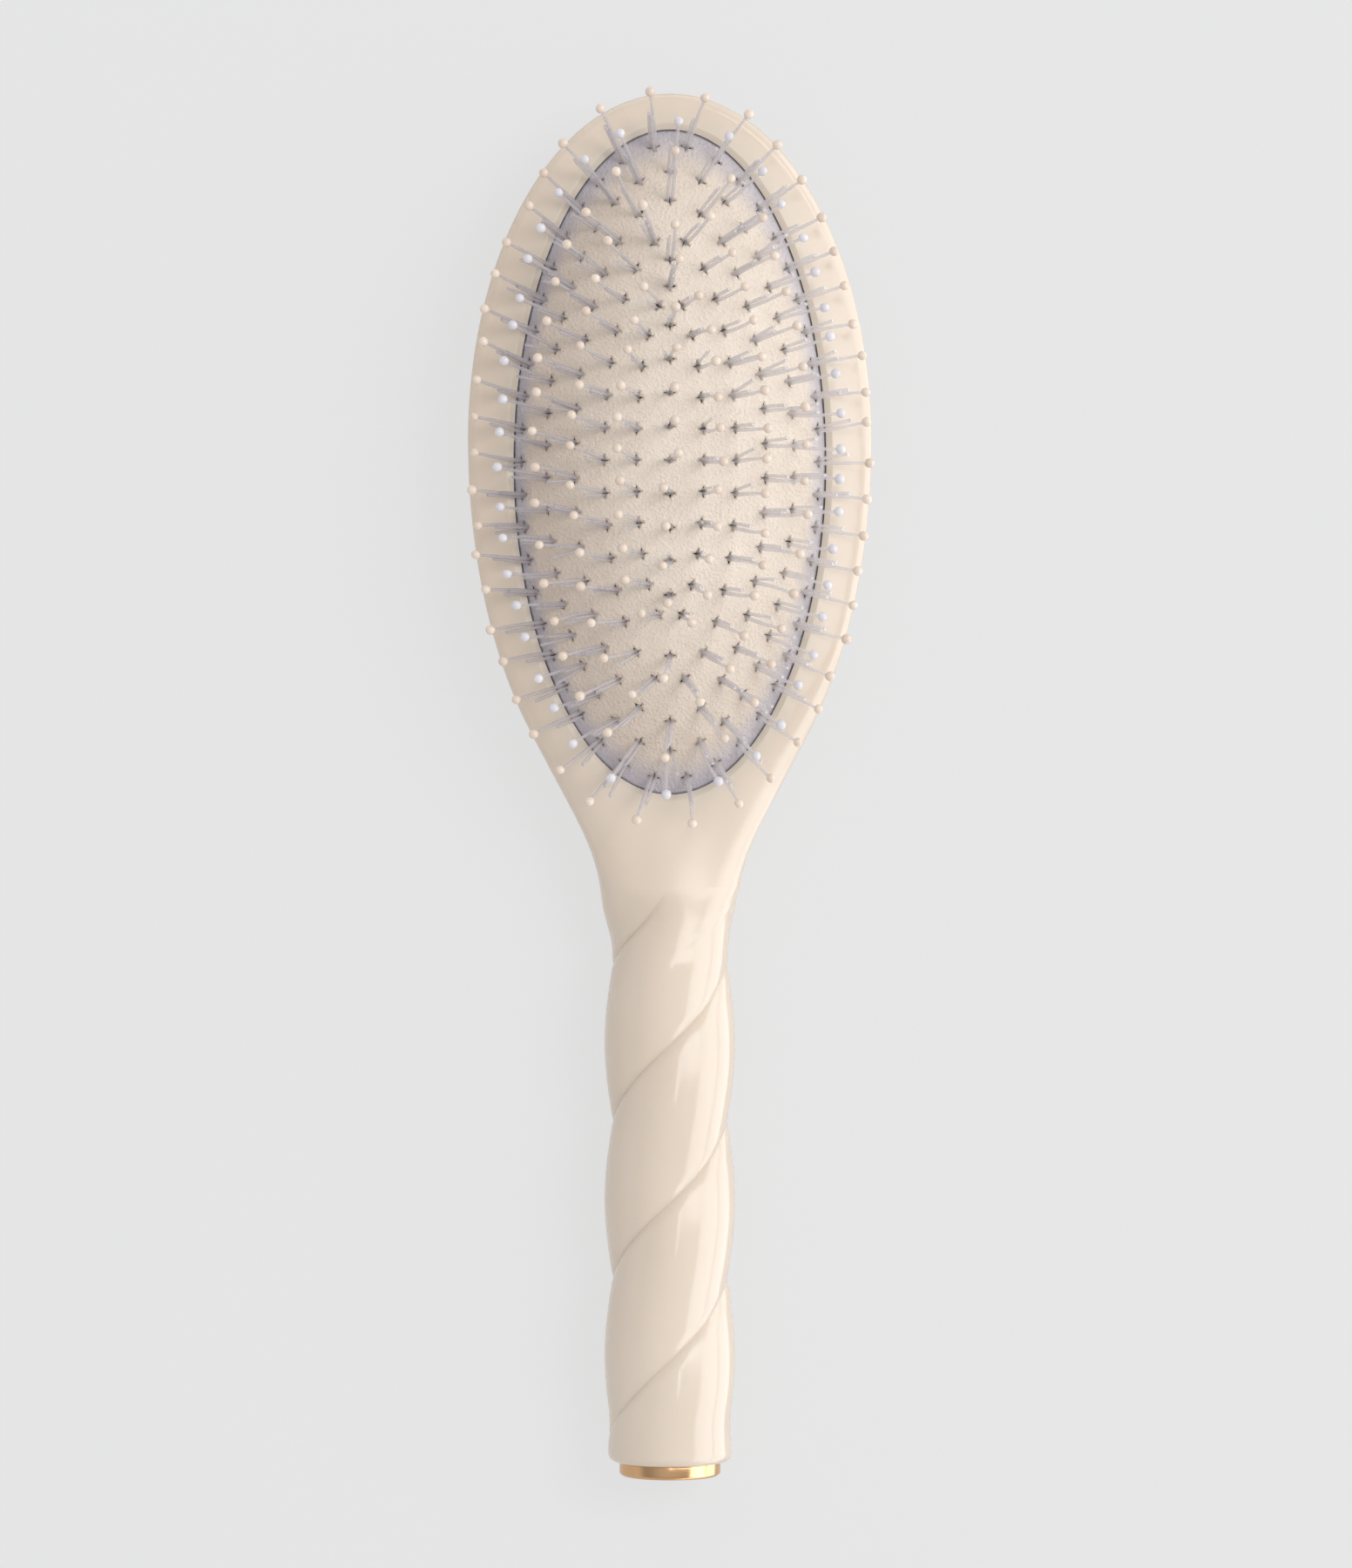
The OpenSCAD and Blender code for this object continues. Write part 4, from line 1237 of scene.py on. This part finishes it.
mixed = floor_finish.add("ShaderNodeMixShader", {
    0: floor_finish.sums("MULTIPLY", seen, GLOW_SHARE),
    1: floor_finish.shader.outputs[0],
    2: paper_glow.outputs[0],
})
surface = floor_finish.tree.nodes["Material Output"].inputs["Surface"]
floor_finish.tree.links.new(mixed.outputs[0], surface)
floor.data.materials.append(floor_finish.material)
print("floor laid")

# %% Light the studio
def soft_light(name, lights, place, aim, width, height, watts):
    """An area lamp: one for "shape" is never mirrored, and one for "gloss" lights nothing."""
    data = bpy.data.lights.new(name, "AREA")
    data.shape = "RECTANGLE"
    data.size, data.size_y, data.energy = width, height, watts
    light = put_in_scene(name, data)
    light.location = place
    direction = Vector(aim) - Vector(place)
    light.rotation_euler = direction.to_track_quat("-Z", "Y").to_euler()
    light.visible_camera = False
    light.visible_glossy = lights != "shape"
    light.visible_diffuse = lights != "gloss"


world = bpy.data.worlds.new("studio_air")
bpy.context.scene.world = world
world.use_nodes = True
EVEN_AIR = (0.69, 0.695, 0.71, 1.0)
LEVELS = ((0.0, 0.80), (0.3, 0.72), (0.5, 0.40), (0.72, 0.42), (0.9, 0.62), (1.0, 0.70))
air = Wiring(world.node_tree)
height = air.axes(air.add("ShaderNodeTexCoord").outputs["Generated"])["Z"]
mirrored_air = air.ramp(height, *((place, (level,) * 3 + (1.0,)) for place, level in LEVELS))
is_mirrored = air.add("ShaderNodeLightPath").outputs["Is Glossy Ray"]
background = air.tree.nodes["Background"].inputs
air.tree.links.new(air.blended(is_mirrored, EVEN_AIR, mirrored_air), background["Color"])
background["Strength"].default_value = 1.0

LAMPS = [
    # name, what it is for, place, aim, width, height, watts
    ("window", "shape", (0.53, 0.24, 0.94), (0, 0.03, 0.01), 0.42, 0.42, 3.9),
    ("panel_glow", "shape", (0.72, 0.0, 0.345), (0, 0.0, 0.345), 1.6, 0.6, 1.6),
    ("panel", "gloss", (0.70, 0.0, 0.345), (0, 0.0, 0.345), 1.6, 0.6, 8.7),
    ("card_by_handle", "gloss", (0.281, -0.42, 0.001), (0.281, -0.42, 1), 0.5, 0.82, 3.0),
    ("card_by_head", "gloss", (0.308, 0.42, 0.001), (0.308, 0.42, 1), 0.5, 0.86, 2.9),
    ("card_beyond_tip", "gloss", (-0.21, 0.45, 0.001), (-0.21, 0.45, 1), 0.5, 0.5, 2.0),
    ("strip_beside_camera", "gloss", (0.0585, 0.1215, 1.0), (0.0585, 0.1215, 0),
     0.063, 0.183, 0.18),
    ("sky_panel", "gloss", (0.575, 0.35, 1.0), (0.575, 0.35, 0), 0.97, 0.44, 4.2),
]
for lamp in LAMPS:
    soft_light(*lamp)
bpy.context.scene.view_settings.view_transform = "Standard"
print("lights:", [item.name for item in bpy.data.lights])
